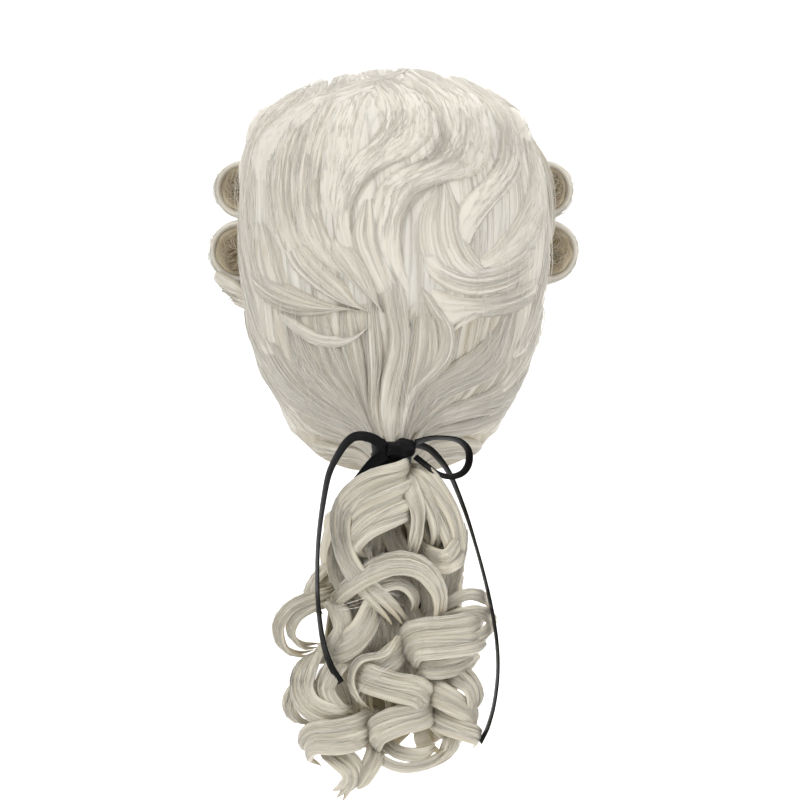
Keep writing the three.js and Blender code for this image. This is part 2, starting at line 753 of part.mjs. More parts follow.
const neckTop = -tieDrop + wrapHeight / 2 + neckAbove;
function queueSolid() {
  let solid = upright(neckRadius, tieSide, tieBack, neckTop, queueTop - 3, 16).add(bunchSolid());
  for (const lock of queueLocks) solid = solid.add(queueLock(lock));
  const underWrap = upright(
    neckRadius + wrapWall + clearance,
    tieSide,
    tieBack,
    neckTop + clearance,
    queueTop - clearance,
    24,
  );
  const neck = upright(neckRadius, tieSide, tieBack, neckTop, queueTop - 3, 16);
  return solid.simplify(hairGive).subtract(underWrap).add(neck);
}

// The wound band, and the shell's clearance round it and the neck.
function bandSolid() {
  const profile = [
    [neckRadius + clearance, -wrapHeight / 2],
    [neckRadius + wrapWall * 0.8, -wrapHeight / 2],
    [neckRadius + wrapWall, -wrapHeight / 2 + 1],
    [neckRadius + wrapWall * 0.86, -wrapHeight / 6],
    [neckRadius + wrapWall, 0],
    [neckRadius + wrapWall * 0.86, wrapHeight / 6],
    [neckRadius + wrapWall, wrapHeight / 2 - 1],
    [neckRadius + wrapWall * 0.8, wrapHeight / 2],
    [neckRadius + clearance, wrapHeight / 2],
    [neckRadius + clearance, -wrapHeight / 2],
  ].map(([reach, height]) => new THREE.Vector2(reach, height));
  const band = new THREE.LatheGeometry(profile, 18);
  band.rotateX(degrees(90));
  band.translate(tieSide, -tieBack, -tieDrop);
  return solidOf(band);
}

function roomForTie() {
  const neckRoom = upright(neckRadius + clearance, tieSide, tieBack, neckTop + clearance, -hairDrop - 40, 16);
  const wrapRoom = upright(
    neckRadius + wrapWall + clearance,
    tieSide,
    tieBack,
    -tieDrop + wrapHeight / 2 + clearance,
    -hairDrop - 40,
    24,
  );
  return neckRoom.add(wrapRoom);
}

// Ribbon

const knotSide = tieSide + 6;
const knotDrop = tieDrop - wrapHeight / 2 + knotHeight / 2 - 2;
const knotBack = tieBack + neckRadius + wrapWall + knotDepth / 2 - 1.5;

// The knot is a pinched block of ribbon, hollowed to sit on the band.
function knotBlock(margin) {
  const rings = [-1, -0.8, 0, 0.8, 1].map((share) => {
    const full = Math.sqrt(1 - 0.55 * share * share);
    return Array.from({ length: 12 }, (_, i) => {
      const turn = (i / 12) * 2 * Math.PI;
      return new THREE.Vector3(
        knotSide + share * (knotWidth / 2 + margin),
        -knotBack + (knotDepth / 2 + margin) * full * Math.cos(turn),
        -knotDrop + (knotHeight / 2 + margin) * full * Math.sin(turn),
      );
    });
  });
  return solidOf(skin(rings, middleOf(rings[0]), middleOf(rings[rings.length - 1])));
}

// The room that the band takes, a little above and below it too.
function bandRoom() {
  const reach = neckRadius + wrapWall + clearance;
  return upright(reach, tieSide, tieBack, -tieDrop + wrapHeight, -tieDrop - wrapHeight * 0.6, 24);
}

// Routes of the ribbon from the knot. Each place is how far it is to the wearer's right of the knot
// and behind it, as shares of the bow's reach, and how far below it, as a share of the route's
// own drop. Tilt is how far the ribbon's flat side turns to the back, in degrees.
const leftEndRoute = [
  { place: [-0.2, 0, 0], tilt: 55 },
  { place: [-0.45, 0.08, -0.045], tilt: 55 },
  { place: [-0.68, 0.13, -0.055], tilt: 50 },
  { place: [-0.84, 0.15, -0.03], tilt: 46 },
  { place: [-0.99, 0.15, 0.03], tilt: 42 },
  { place: [-1.12, 0.16, 0.105], tilt: 40 },
  { place: [-1.2, 0.2, 0.21], tilt: 38 },
  { place: [-1.27, 0.28, 0.35], tilt: 36 },
  { place: [-1.3, 0.36, 0.48], tilt: 36 },
  { place: [-1.29, 0.44, 0.65], tilt: 36 },
  { place: [-1.22, 0.5, 0.81], tilt: 38 },
  { place: [-1.1, 0.53, 0.92], tilt: 40 },
  { place: [-0.93, 0.55, 1], tilt: 42 },
];
const rightEndRoute = [
  { place: [0.12, -0.06, -0.012], tilt: 30 },
  { place: [0.28, -0.16, -0.012], tilt: 30 },
  { place: [0.46, -0.23, 0.004], tilt: 28 },
  { place: [0.62, -0.25, 0.04], tilt: 26 },
  { place: [0.76, -0.27, 0.085], tilt: 24 },
  { place: [0.88, -0.24, 0.143], tilt: 22 },
  { place: [1.03, -0.16, 0.23], tilt: 20 },
  { place: [1.17, -0.06, 0.33], tilt: 18 },
  { place: [1.3, 0.05, 0.435], tilt: 17 },
  { place: [1.41, 0.14, 0.54], tilt: 16 },
  { place: [1.49, 0.2, 0.65], tilt: 15 },
  { place: [1.51, 0.22, 0.755], tilt: 14 },
  { place: [1.46, 0.2, 0.86], tilt: 14 },
  { place: [1.36, 0.16, 0.945], tilt: 14 },
  { place: [1.24, 0.12, 1], tilt: 14 },
];
const rightLoopRoute = [
  { place: [0.22, 0.03, -0.1], tilt: 26 },
  { place: [0.46, 0.04, -0.165], tilt: 28 },
  { place: [0.7, 0.05, -0.17], tilt: 30 },
  { place: [0.9, 0.05, -0.13], tilt: 30 },
  { place: [1.03, 0.05, -0.02], tilt: 30 },
  { place: [1.07, 0.05, 0.12], tilt: 30 },
  { place: [1.04, 0.05, 0.275], tilt: 30 },
  { place: [0.94, 0.05, 0.39], tilt: 30 },
  { place: [0.77, 0.05, 0.435], tilt: 30 },
  { place: [0.58, 0.05, 0.39], tilt: 30 },
  { place: [0.4, 0.04, 0.26], tilt: 28 },
  { place: [0.22, 0.03, 0.12], tilt: 26 },
];
const leftLoopRoute = [
  { place: [-0.22, -0.05, 0.08], tilt: 62 },
  { place: [-0.4, -0.16, 0.2], tilt: 68 },
  { place: [-0.57, -0.26, 0.4], tilt: 72 },
  { place: [-0.7, -0.34, 0.58], tilt: 74 },
  { place: [-0.75, -0.44, 0.68], tilt: 76 },
  { place: [-0.72, -0.54, 0.6], tilt: 74 },
  { place: [-0.59, -0.52, 0.43], tilt: 72 },
  { place: [-0.42, -0.45, 0.24], tilt: 70 },
];
const ribbonRuns = [
  { name: "bow_loop_right", route: rightLoopRoute, drop: bowReach, step: ribbonWidth / 2 },
  { name: "bow_loop_left", route: leftLoopRoute, drop: bowReach, step: ribbonWidth / 2 },
  { name: "ribbon_tail_left", route: leftEndRoute, drop: leftEndDrop, step: ribbonWidth * 0.85 },
  { name: "ribbon_tail_right", route: rightEndRoute, drop: rightEndDrop, step: ribbonWidth * 0.85 },
];

// A flat band along a route. Its width lies across the route, turned to the back by the tilt.
function ribbonSolid({ route, drop, step }, margin = 0) {
  const places = route.map(
    ({ place: [side, back, down] }) =>
      new THREE.Vector3(knotSide + side * bowReach, -knotBack - back * bowReach, -knotDrop - down * drop),
  );
  const curve = new THREE.CatmullRomCurve3(places, false, "centripetal");
  const steps = Math.round(curve.getLength() / step);
  const rings = [];
  for (let j = 0; j <= steps; j++) {
    const share = j / steps;
    const point = curve.getPoint(share);
    const ahead = curve.getTangent(share);
    const spot = share * (route.length - 1);
    const low = Math.min(Math.floor(spot), route.length - 2);
    const tilt = degrees(mix(route[low].tilt, route[low + 1].tilt, spot - low));
    const sideways = new THREE.Vector3(0, 1, 0).cross(ahead).normalize();
    const deep = ahead.clone().cross(sideways).normalize();
    const across = deep.clone().multiplyScalar(Math.cos(tilt)).addScaledVector(sideways, Math.sin(tilt));
    const out = across.clone().cross(ahead);
    rings.push(
      [[1, 1], [-1, 1], [-1, -1], [1, -1]].map(([wide, thick]) =>
        point
          .clone()
          .addScaledVector(across, wide * (ribbonWidth / 2 + margin))
          .addScaledVector(out, -thick * (ribbonThickness / 2 + margin)),
      ),
    );
  }
  return solidOf(skin(rings, middleOf(rings[0]), middleOf(rings[steps])));
}

// The lock of side hair that shows below the left lower roll.
function underLock() {
  const line = [];
  const facing = [];
  const route = new THREE.CatmullRomCurve3([
    new THREE.Vector3(-0.45 * hairWidth, -14, -lowerRollDrop - lowerRollRadius * 1.75),
    new THREE.Vector3(-0.5 * hairWidth, 0, -lowerRollDrop - lowerRollRadius * 1.45),
    new THREE.Vector3(-0.525 * hairWidth, 16, -lowerRollDrop - lowerRollRadius * 1.3),
    new THREE.Vector3(-0.49 * hairWidth, 38, -lowerRollDrop - lowerRollRadius * 1.3),
  ]);
  const steps = 9;
  for (let j = 0; j <= steps; j++) {
    line.push(route.getPoint(j / steps));
    facing.push(new THREE.Vector3(-0.75, 0, -0.66));
  }
  const rings = lockRings(line, facing, 0.14 * hairWidth, 0.055 * hairWidth, lockSides);
  return solidOf(skin(rings, middleOf(rings[0]), middleOf(rings[steps])));
}

// Putting it together

const wig = new THREE.Group();

function addPiece(name, solid, material) {
  const mesh = new THREE.Mesh(geometryOf(solid), material);
  mesh.name = name;
  wig.add(mesh);
  return mesh;
}

let shell = hairSolid().subtract(headSolid()).add(underLock()).simplify(hairGive / 2).subtract(roomForTie());
const roomForLoop = ribbonSolid(ribbonRuns[1], 2 * clearance);
shell = shell.subtract(roomForLoop);
for (const roll of rolls) shell = shell.subtract(rollSeat(roll));
addPiece("hair_shell", shell, hairWhite);

for (const roll of rolls) {
  const mesh = new THREE.Mesh(geometryOf(rollSolid(roll.radius)), rollWhite);
  mesh.name = roll.name;
  wig.add(placeRoll(mesh, roll));
}

addPiece("queue", queueSolid().subtract(roomForLoop), hairWhite);
addPiece("ribbon_band", bandSolid(), satinBlack);
addPiece("ribbon_knot", knotBlock(0).subtract(bandRoom()), satinBlack);

const roomAtKnot = knotBlock(clearance).add(bandRoom());
for (const run of ribbonRuns) {
  addPiece(run.name, ribbonSolid(run).subtract(roomAtKnot), satinBlack);
}

export default wig;
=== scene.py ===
# %% [markdown]
# # A powdered wig, dressed
# The real object is a gentleman's dress wig. White hair is sewn in rows to a net cap,
# combed back in waves, rolled into two side curls over each ear, and gathered at the nape
# into a queue of ringlets that a black satin ribbon ties.
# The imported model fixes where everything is. This lesson adds what it can't hold: locks
# that overlap, single hairs, woven net and the satin's sheen.

# %% Load the frame
import math
import bpy
import numpy as np
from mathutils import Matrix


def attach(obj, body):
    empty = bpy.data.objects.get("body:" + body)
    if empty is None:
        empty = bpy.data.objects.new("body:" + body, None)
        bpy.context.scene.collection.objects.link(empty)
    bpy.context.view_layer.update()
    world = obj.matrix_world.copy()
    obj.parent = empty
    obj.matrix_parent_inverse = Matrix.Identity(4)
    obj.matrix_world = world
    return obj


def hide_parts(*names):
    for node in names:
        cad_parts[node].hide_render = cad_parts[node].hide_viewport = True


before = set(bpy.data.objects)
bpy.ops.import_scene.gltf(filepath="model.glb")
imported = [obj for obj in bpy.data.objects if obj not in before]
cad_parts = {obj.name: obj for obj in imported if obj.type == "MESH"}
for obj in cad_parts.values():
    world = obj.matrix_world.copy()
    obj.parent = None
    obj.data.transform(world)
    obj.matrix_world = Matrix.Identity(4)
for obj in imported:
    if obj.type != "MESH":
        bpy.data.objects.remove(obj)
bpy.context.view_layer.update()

MM = 0.001
print("packed nodes:", len(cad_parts))

# %% [markdown]
# ## Camera, backdrop and light
# The photograph looks straight at the back of the wig, level with the ribbon's bow, from
# far enough away that the rolls hardly shrink. A long lens from three metres gives the same
# view, and its frame is 520 mm wide at the middle of the head.
# A backdrop could be a wall and a floor. One curved sheet is used instead, as in a studio,
# because it leaves no corner line behind the white hair.

# %% Place the camera
EYE = (0.0039, -3.0, -0.191)
VIEW_WIDTH = 0.52
SENSOR_WIDTH = 36.0
camera_data = bpy.data.cameras.new("camera")
camera_data.sensor_width = SENSOR_WIDTH
camera_data.lens = SENSOR_WIDTH * abs(EYE[1]) / VIEW_WIDTH
camera_data.clip_end = 30.0
camera = bpy.data.objects.new("camera", camera_data)
camera.location = EYE
camera.rotation_euler = (math.radians(90), 0.0, 0.0)
bpy.context.scene.collection.objects.link(camera)
bpy.context.scene.camera = camera
print("lens", round(camera_data.lens, 1), "mm")


# %% Smooth curves
def through(places, count):
    """A curve through places. Between two neighbours it is the cubic whose slope at each
    place is half the step from the place before to the place after."""
    p = np.asarray(places, float)
    first = 2 * p[..., :1, :] - p[..., 1:2, :]
    last = 2 * p[..., -1:, :] - p[..., -2:-1, :]
    held = np.concatenate([first, p, last], axis=-2)
    spot = np.linspace(0, p.shape[-2] - 1, count)
    low = np.minimum(spot.astype(int), p.shape[-2] - 2)
    s = (spot - low)[:, None]
    a, b, c, d = (held[..., low + k, :] for k in range(4))
    square = 2 * a - 5 * b + 4 * c - d
    cube = 3 * b - a - 3 * c + d
    return 0.5 * (2 * b + (c - a) * s + square * s**2 + cube * s**3)


def walked_along(line):
    """The length walked so far at each point: the sum of the steps up to it."""
    steps = np.linalg.norm(np.diff(line, axis=-2), axis=-1)
    return np.concatenate([np.zeros((*steps.shape[:-1], 1)), np.cumsum(steps, axis=-1)], axis=-1)


def evenly(places, count):
    """The same curve with its points at equal distances: each coordinate is read at equal
    shares of the length walked so far."""
    curve = through(places, 240)
    walked = walked_along(curve)
    at = np.linspace(0, walked[-1], count)
    return np.stack([np.interp(at, walked, curve[:, k]) for k in range(curve.shape[1])], axis=1)


def smooth(value, low, high):
    """0 below low, 1 above high, and 3t squared minus 2t cubed between them."""
    t = np.clip((np.asarray(value, float) - low) / (high - low), 0.0, 1.0)
    return t * t * (3.0 - 2.0 * t)


def unit(v):
    """Each vector divided by its own length."""
    return v / np.maximum(np.linalg.norm(v, axis=-1, keepdims=True), 1e-9)


def paired(*values):
    """Shares along and places across, brought to one shape."""
    return np.broadcast_arrays(*(np.asarray(v, float) for v in values))


def stacked(*values):
    """Coordinates of different shapes as one array of points."""
    return np.stack(np.broadcast_arrays(*values), axis=-1)


def grooved(across, phase, power=1.0):
    """Rounded backs and sharp valleys: the size of a sine, raised to a power under 1."""
    return np.abs(np.sin(np.pi / 2 * across + phase)) ** power


print("through two points:", through([(0.0, 0.0), (1.0, 2.0)], 3)[1])


# %% From arrays to a mesh
def grid_faces(rows, columns, round_columns):
    """Quads of a grid: each joins a point, its neighbour along and the two above them."""
    j = np.arange(rows - 1)[:, None]
    i = np.arange(columns if round_columns else columns - 1)[None, :]
    a = j * columns + i
    b = j * columns + (i + 1) % columns
    return np.stack([a, b, b + columns, a + columns], axis=-1).reshape(-1, 4)


def volume_of(points, faces):
    """Six times the volume: the sum over fans of triangles of a corner's triple product."""
    total = 0.0
    for f in faces:
        for k in range(1, f.shape[1] - 1):
            a, b, c = points[f[:, 0]], points[f[:, k]], points[f[:, k + 1]]
            total += np.einsum("ij,ij->i", a, np.cross(b, c)).sum()
    return total


def make_piece(name, points, faces, finish, flow=None, shade=None):
    """One mesh object from points in millimetres and lists of triangles and quads. flow is
    the millimetres across and along the hair or cloth, and shade how deep in shadow."""
    points = np.asarray(points, float).reshape(-1, 3)
    faces = [np.asarray(f, int) for f in faces if len(f)]
    if volume_of(points, faces) < 0:
        faces = [f[:, ::-1] for f in faces]
    corners = np.concatenate([f.ravel() for f in faces]).astype(np.int32)
    sizes = np.concatenate([np.full(len(f), f.shape[1]) for f in faces])
    mesh = bpy.data.meshes.new(name)
    mesh.vertices.add(len(points))
    mesh.vertices.foreach_set("co", (points * MM).astype(np.float32).ravel())
    mesh.loops.add(len(corners))
    mesh.loops.foreach_set("vertex_index", corners)
    mesh.polygons.add(len(sizes))
    starts = np.concatenate([[0], np.cumsum(sizes)[:-1]])
    mesh.polygons.foreach_set("loop_start", starts.astype(np.int32))
    mesh.polygons.foreach_set("use_smooth", np.full(len(sizes), True))
    mesh.update(calc_edges=True)
    if flow is not None:
        layer = mesh.uv_layers.new(name="flow")
        layer.data.foreach_set("uv", np.asarray(flow, np.float32).reshape(-1, 2)[corners].ravel())
    if shade is not None:
        held = mesh.attributes.new("shade", "FLOAT", "POINT")
        held.data.foreach_set("value", np.clip(np.asarray(shade, np.float32).ravel(), 0, 1))
    mesh.materials.append(finish)
    piece = bpy.data.objects.new(name, mesh)
    bpy.context.scene.collection.objects.link(piece)
    print(name, "triangles", int((sizes - 2).sum()))
    return piece


# %% Close, join and dress bodies
def closed_stack(rings, flow, tip_flow=None):
    """Rings of points as one closed body: quads between the rings, and at either end a fan
    about the mean of the last ring."""
    rows, columns = rings.shape[:2]
    ends = [rings[0].mean(axis=0), rings[-1].mean(axis=0)]
    if tip_flow is None:
        tip_flow = [flow[0].mean(axis=0), flow[-1].mean(axis=0)]
    i = np.arange(columns)
    n = (i + 1) % columns
    count, last = rows * columns, (rows - 1) * columns
    start = np.stack([np.full(columns, count), n, i], axis=1)
    end = np.stack([np.full(columns, count + 1), last + i, last + n], axis=1)
    points = np.concatenate([rings.reshape(-1, 3), ends])
    flows = np.concatenate([flow.reshape(-1, 2), tip_flow])
    return points, [grid_faces(rows, columns, True), start, end], flows


def joined(name, parts, finish):
    """Many closed bodies as one mesh. Each is turned to face outwards first, by the sign of
    its own volume."""
    points, quads, triangles, flows, shades, start = [], [], [], [], [], 0
    for p, faces, flow, shade in parts:
        if volume_of(p, faces) < 0:
            faces = [f[:, ::-1] for f in faces]
        for f in faces:
            (quads if f.shape[1] == 4 else triangles).append(f + start)
        points.append(p)
        flows.append(flow)
        shades.append(shade)
        start += len(p)
    faces = [np.concatenate(kind) for kind in (quads, triangles) if kind]
    flow, shade = np.concatenate(flows), np.concatenate(shades)
    return make_piece(name, np.concatenate(points), faces, finish, flow, shade)


def dressed(piece, slot, *nodes):
    """Rides on the wig's one body and stands for the nodes named. The slot is not used."""
    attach(piece, "root")
    if nodes:
        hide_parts(*nodes)
    return piece


two_squares = closed_stack(np.zeros((2, 4, 3)), np.zeros((2, 4, 2)))
print("a closed stack of two squares has", sum(map(len, two_squares[1])), "faces")


# %% [markdown]
# ## The satin
# The ribbon is black satin. Its long floats lie along the ribbon, so light runs along it in
# a bluish streak, and a firm edge is woven down each side. A picture could carry the weave,
# but two thin wave patterns on the ribbon's own map do it at any distance.

# %% Finishes share these helpers
def finish_named(name, colour, roughness, specular, **more):
    """A material with its plain values set on the shader itself."""
    finish = bpy.data.materials.new(name)
    finish.use_nodes = True
    shader = finish.node_tree.nodes["Principled BSDF"]
    basic = {"Base Color": (*colour, 1.0), "Roughness": roughness, "Specular IOR Level": specular}
    for key, value in (basic | more).items():
        shader.inputs[key.replace("_", " ")].default_value = value
    return finish, shader


def add_node(finish, kind, **values):
    """A node with its settings, where a name with a capital letter is one of its inputs."""
    node = finish.node_tree.nodes.new(kind)
    for key, value in values.items():
        if key[0].isupper():
            node.inputs[key.replace("_", " ")].default_value = value
        else:
            setattr(node, key, value)
    return node


def join(finish, *ends):
    """Links, each given as the output and the input that it joins."""
    for out, into in ends:
        finish.node_tree.links.new(out, into)


def flow_pattern(finish, across, along, detail, seed=0.0):
    """Noise drawn out along the flow: across and along are how many times it changes in a
    millimetre."""
    flow = add_node(finish, "ShaderNodeUVMap", uv_map="flow")
    drawn = add_node(finish, "ShaderNodeMapping", Scale=(across, along, 1.0))
    drawn.inputs["Location"].default_value = (seed, seed * 0.37, 0.0)
    noise = add_node(finish, "ShaderNodeTexNoise", Scale=1.0, Detail=detail, Roughness=0.6)
    join(
        finish,
        (flow.outputs["UV"], drawn.inputs["Vector"]),
        (drawn.outputs["Vector"], noise.inputs["Vector"]),
    )
    return noise.outputs["Fac"]


# %% Black satin
def satin_finish():
    """Near black, glossy along its floats, with weft lines 0.6 mm apart."""
    finish, shader = finish_named(
        "black_satin", (0.0025, 0.0026, 0.003), 0.3, 0.12, Anisotropic=0.55,
        Sheen_Weight=0.015, Sheen_Roughness=0.35, Sheen_Tint=(0.55, 0.66, 0.9, 1.0),
    )
    tangent = add_node(finish, "ShaderNodeTangent", direction_type="UV_MAP", uv_map="flow")
    floats = flow_pattern(finish, 5.0, 0.25, 2.0)
    flow = add_node(finish, "ShaderNodeUVMap", uv_map="flow")
    weft = add_node(
        finish, "ShaderNodeTexWave", wave_type="BANDS", bands_direction="Y", Scale=0.55, Distortion=0.4
    )
    both = add_node(finish, "ShaderNodeMath", operation="MULTIPLY_ADD")
    both.inputs[1].default_value = 0.6
    bump = add_node(finish, "ShaderNodeBump", Strength=0.35, Distance=0.00012)
    tone = add_node(finish, "ShaderNodeMapRange", To_Min=0.24, To_Max=0.4)
    join(
        finish,
        (flow.outputs["UV"], weft.inputs["Vector"]),
        (floats, both.inputs[0]),
        (weft.outputs["Fac"], both.inputs[2]),
        (both.outputs[0], bump.inputs["Height"]),
        (bump.outputs["Normal"], shader.inputs["Normal"]),
        (tangent.outputs["Tangent"], shader.inputs["Tangent"]),
        (floats, tone.inputs["Value"]),
        (tone.outputs["Result"], shader.inputs["Roughness"]),
    )
    return finish


satin = satin_finish()

# %% [markdown]
# ## The ribbon's two ends
# One ribbon is wound round the queue, knotted, and pulled into a bow. Its ends hang free, so
# each is a limp cord, flat and 8 mm wide. The routes are the imported model's: each place is
# how far it lies to the right of the knot and behind it, as shares of the bow's reach, how
# far below, as a share of that end's drop, and how far the strip is tilted, in degrees.
# Simulating two strips would blur a shape that the photograph shows almost from end to end,
# so the strips are lofted along the listed routes.

# %% The ribbon's measures and routes
HEAD_BREADTH, HEAD_LENGTH = 156.0, 196.0
BOW_REACH = 40.0
RIBBON_WIDTH = 8.0
NECK_RADIUS = 10.5
WRAP_HEIGHT = 23.0
WRAP_THICK, KNOT_PROUD = 2.6, 3.0
NAPE_BACK, TIE_OFF_NAPE = 0.765 * HEAD_LENGTH * 0.5, 23
TIE = np.array([-1.5, -(NAPE_BACK + TIE_OFF_NAPE), -228.5])
KNOT_BACK = NAPE_BACK + TIE_OFF_NAPE + NECK_RADIUS + WRAP_THICK + KNOT_PROUD
KNOT = np.array([4.5, -KNOT_BACK, -221.5])
LEFT_END = [
    (-0.2, 0, 0, 52), (-0.45, 0.08, -0.045, 48), (-0.68, 0.13, -0.055, 42), (-0.84, 0.15, -0.03, 36),
    (-0.99, 0.15, 0.03, 30), (-1.12, 0.16, 0.105, 26), (-1.2, 0.2, 0.21, 22), (-1.27, 0.28, 0.35, 18),
    (-1.3, 0.36, 0.48, 16), (-1.29, 0.44, 0.65, 18), (-1.22, 0.5, 0.81, 22), (-1.1, 0.53, 0.92, 28),
    (-0.93, 0.55, 1, 32),
]
RIGHT_END = [
    (0.12, -0.06, -0.012, 30), (0.28, -0.16, -0.012, 30), (0.46, -0.23, 0.004, 28), (0.62, -0.25, 0.04, 26),
    (0.76, -0.27, 0.085, 21), (0.88, -0.24, 0.143, 18), (1.03, -0.16, 0.23, 14), (1.17, -0.06, 0.33, 11),
    (1.3, 0.05, 0.435, 12), (1.41, 0.14, 0.54, 12), (1.49, 0.2, 0.65, 12), (1.51, 0.22, 0.755, 12),
    (1.46, 0.2, 0.86, 12), (1.36, 0.16, 0.945, 13), (1.24, 0.12, 1, 14),
]
RIGHT_LOOP = [
    (0.22, 0.03, -0.1, 24), (0.46, 0.04, -0.165, 20), (0.7, 0.05, -0.17, 18), (0.9, 0.05, -0.13, 22),
    (1.03, 0.05, -0.02, 27), (1.07, 0.05, 0.12, 30), (1.04, 0.05, 0.275, 30), (0.94, 0.05, 0.39, 26),
    (0.77, 0.05, 0.435, 22), (0.58, 0.05, 0.39, 20), (0.4, 0.04, 0.26, 22), (0.22, 0.03, 0.12, 24),
]
LEFT_LOOP = [
    (-0.22, -0.05, 0.08, 62), (-0.4, -0.16, 0.2, 68), (-0.57, -0.26, 0.4, 72), (-0.7, -0.34, 0.58, 74),
    (-0.75, -0.44, 0.68, 76), (-0.72, -0.54, 0.6, 74), (-0.59, -0.52, 0.43, 72), (-0.42, -0.45, 0.24, 70),
]


def ribbon_line(route, drop, count):
    """The middle of a ribbon, its direction across and its tilt. Right, behind and below are
    measured from the knot."""
    r = np.array(route, float)
    places = KNOT + np.stack([r[:, 0] * BOW_REACH, -r[:, 1] * BOW_REACH, -r[:, 2] * drop], axis=1)
    line = evenly(np.column_stack([places, r[:, 3] * 1e-3]), count)
    tilt = np.radians(line[:, 3] * 1e3)[:, None]
    middle = line[:, :3]
    ahead = unit(np.gradient(middle, axis=0))
    sideways = unit(np.cross(np.array([0.0, 1.0, 0.0]), ahead))
    deep = unit(np.cross(ahead, sideways))
    across = deep * np.cos(tilt) + sideways * np.sin(tilt)
    return middle, ahead, across


# %% Loft a strip of ribbon
def ribbon_strip(name, route, drop, count, cup=0.35):
    """A flat strip: across it runs from edge to edge and back underneath. Its half thickness
    is 0.26 mm, 0.14 more at the woven edge, and it is cupped by a parabola."""
    middle, ahead, across = ribbon_line(route, drop, count)
    out = np.cross(across, ahead)
    f = np.linspace(-1, 1, 15)
    half = 0.26 + 0.14 * smooth(np.abs(f), 0.8, 0.9) * (1 - smooth(np.abs(f), 0.97, 1.03))
    f_ring = np.concatenate([f, f[::-1]])
    up = np.concatenate([half, -half[::-1]])
    cupped = cup * (1 - f_ring**2) + up
    ring = (
        middle[:, None, :]
        + across[:, None, :] * (RIBBON_WIDTH / 2 * f_ring)[None, :, None]
        + out[:, None, :] * cupped[None, :, None]
    )
    length = walked_along(middle)
    flow = stacked(f_ring[None, :] * RIBBON_WIDTH / 2, length[:, None])
    quads = grid_faces(count, len(f_ring), True)
    last = (count - 1) * len(f_ring)
    k = np.arange(len(f) - 1)
    other = 2 * len(f) - 1 - k
    cap = np.stack([k, k + 1, other - 1, other], axis=1)
    caps = [cap[:, ::-1], cap + last]
    piece = make_piece(name, ring, [quads, *caps], satin, flow)
    return piece, middle, float(length[-1])


# %% Hang the two ends as cords
for name, node, route, drop in (
    ("ribbon_end_left", "ribbon_tail_left", LEFT_END, 145.0),
    ("ribbon_end_right", "ribbon_tail_right", RIGHT_END, 183.0),
):
    piece, middle, length = ribbon_strip(name, route, drop, 150)
    dressed(piece, "ribbon", node)
    print(name, "length", round(length), "mm")

# %% [markdown]
# ## The bow's loops, the wound band and the knot
# The right loop stands out stiffly and the left one droops behind the bunch. Both are the
# same strip as the ends. The band is three turns of ribbon, each overlapping the one below,
# and the knot is a pinched fold pulled across it. Both could be sculpted. Here each is a
# round surface whose radius holds the folds.

# %% The two loops
for name, node, route, cup in (
    ("ribbon_loop_right", "bow_loop_right", RIGHT_LOOP, 0.3),
    ("ribbon_loop_left", "bow_loop_left", LEFT_LOOP, 0.2),
):
    piece, middle, length = ribbon_strip(name, route, BOW_REACH, 90, cup)
    dressed(piece, "ribbon", node)


# %% The band round the queue's neck
def wound_band():
    """A ring whose outside is three overlapping turns: the radius rises by a turn's thickness
    up each turn and drops at its edge, and the turns slope a little as they go round."""
    rows, columns = 44, 56
    turn = np.linspace(0, 2 * np.pi, columns, endpoint=False)[None, :]
    height = np.linspace(-1, 1, rows)[:, None]
    wound = 1.5 * (height + 1) + 0.12 * np.sin(turn) + 0.05 * np.sin(3 * turn + 1)
    part = wound - np.floor(wound)
    creases = 0.12 * np.sin(9 * turn + 5 * height) * np.sin(2 * turn + 2)
    radius = NECK_RADIUS + 1.5 + 1.1 * part**0.6 * (1 - smooth(part, 0.9, 1.0)) + creases
    radius = radius - 1.2 * smooth(np.abs(height), 0.93, 1.0)
    z = height * WRAP_HEIGHT / 2
    out, back, inside = np.sin(turn), np.cos(turn), NECK_RADIUS + 0.2
    outer = stacked(TIE[0] + radius * out, TIE[1] - radius * back, TIE[2] + z)
    inner = stacked(TIE[0] + inside * out, TIE[1] - inside * back, TIE[2] + z[::-1])
    both = np.concatenate([outer, inner])
    quads = grid_faces(2 * rows, columns, True)
    i = np.arange(columns)
    n = (i + 1) % columns
    last = (2 * rows - 1) * columns
    close = np.stack([last + i, last + n, n, i], axis=1)
    flow = stacked(both[..., 2], 13.0 * turn)
    return make_piece("ribbon_wound_band", both, [quads, close], satin, flow)


dressed(wound_band(), "ribbon", "ribbon_band")


# %% The knot
def pinched_knot():
    """A rounded block, longer than it is high, whose section swells by folds that run round
    it: the radius is an oval's, times 1 plus a fold pattern that deepens to the ends."""
    rows, columns = 40, 64
    along = np.linspace(-1, 1, rows)[:, None]
    turn = np.linspace(0, 2 * np.pi, columns, endpoint=False)[None, :]
    half_length, half_depth, half_height = 9.5, 4.7, 6.6
    full = np.sqrt(np.clip(1 - np.abs(along) ** 3.2, 0, 1)) * (0.82 + 0.18 * np.cos(np.pi * along) ** 2)
    folds = 1 + 0.09 * np.sin(4 * turn + 2.4 * along) + 0.05 * np.sin(9 * turn - 3 * along) * np.abs(along)
    reach = np.maximum(full, 0.02) * folds
    points = stacked(
        KNOT[0] + along * half_length,
        KNOT[1] - half_depth * reach * np.cos(turn),
        KNOT[2] + half_height * reach * np.sin(turn) + 0.8 * along,
    )
    flow = stacked(6.0 * turn, along * half_length)
    points, faces, flow = closed_stack(points, flow, np.zeros((2, 2)))
    return make_piece("ribbon_pinched_knot", points, faces, satin, flow)


dressed(pinched_knot(), "ribbon", "ribbon_knot")

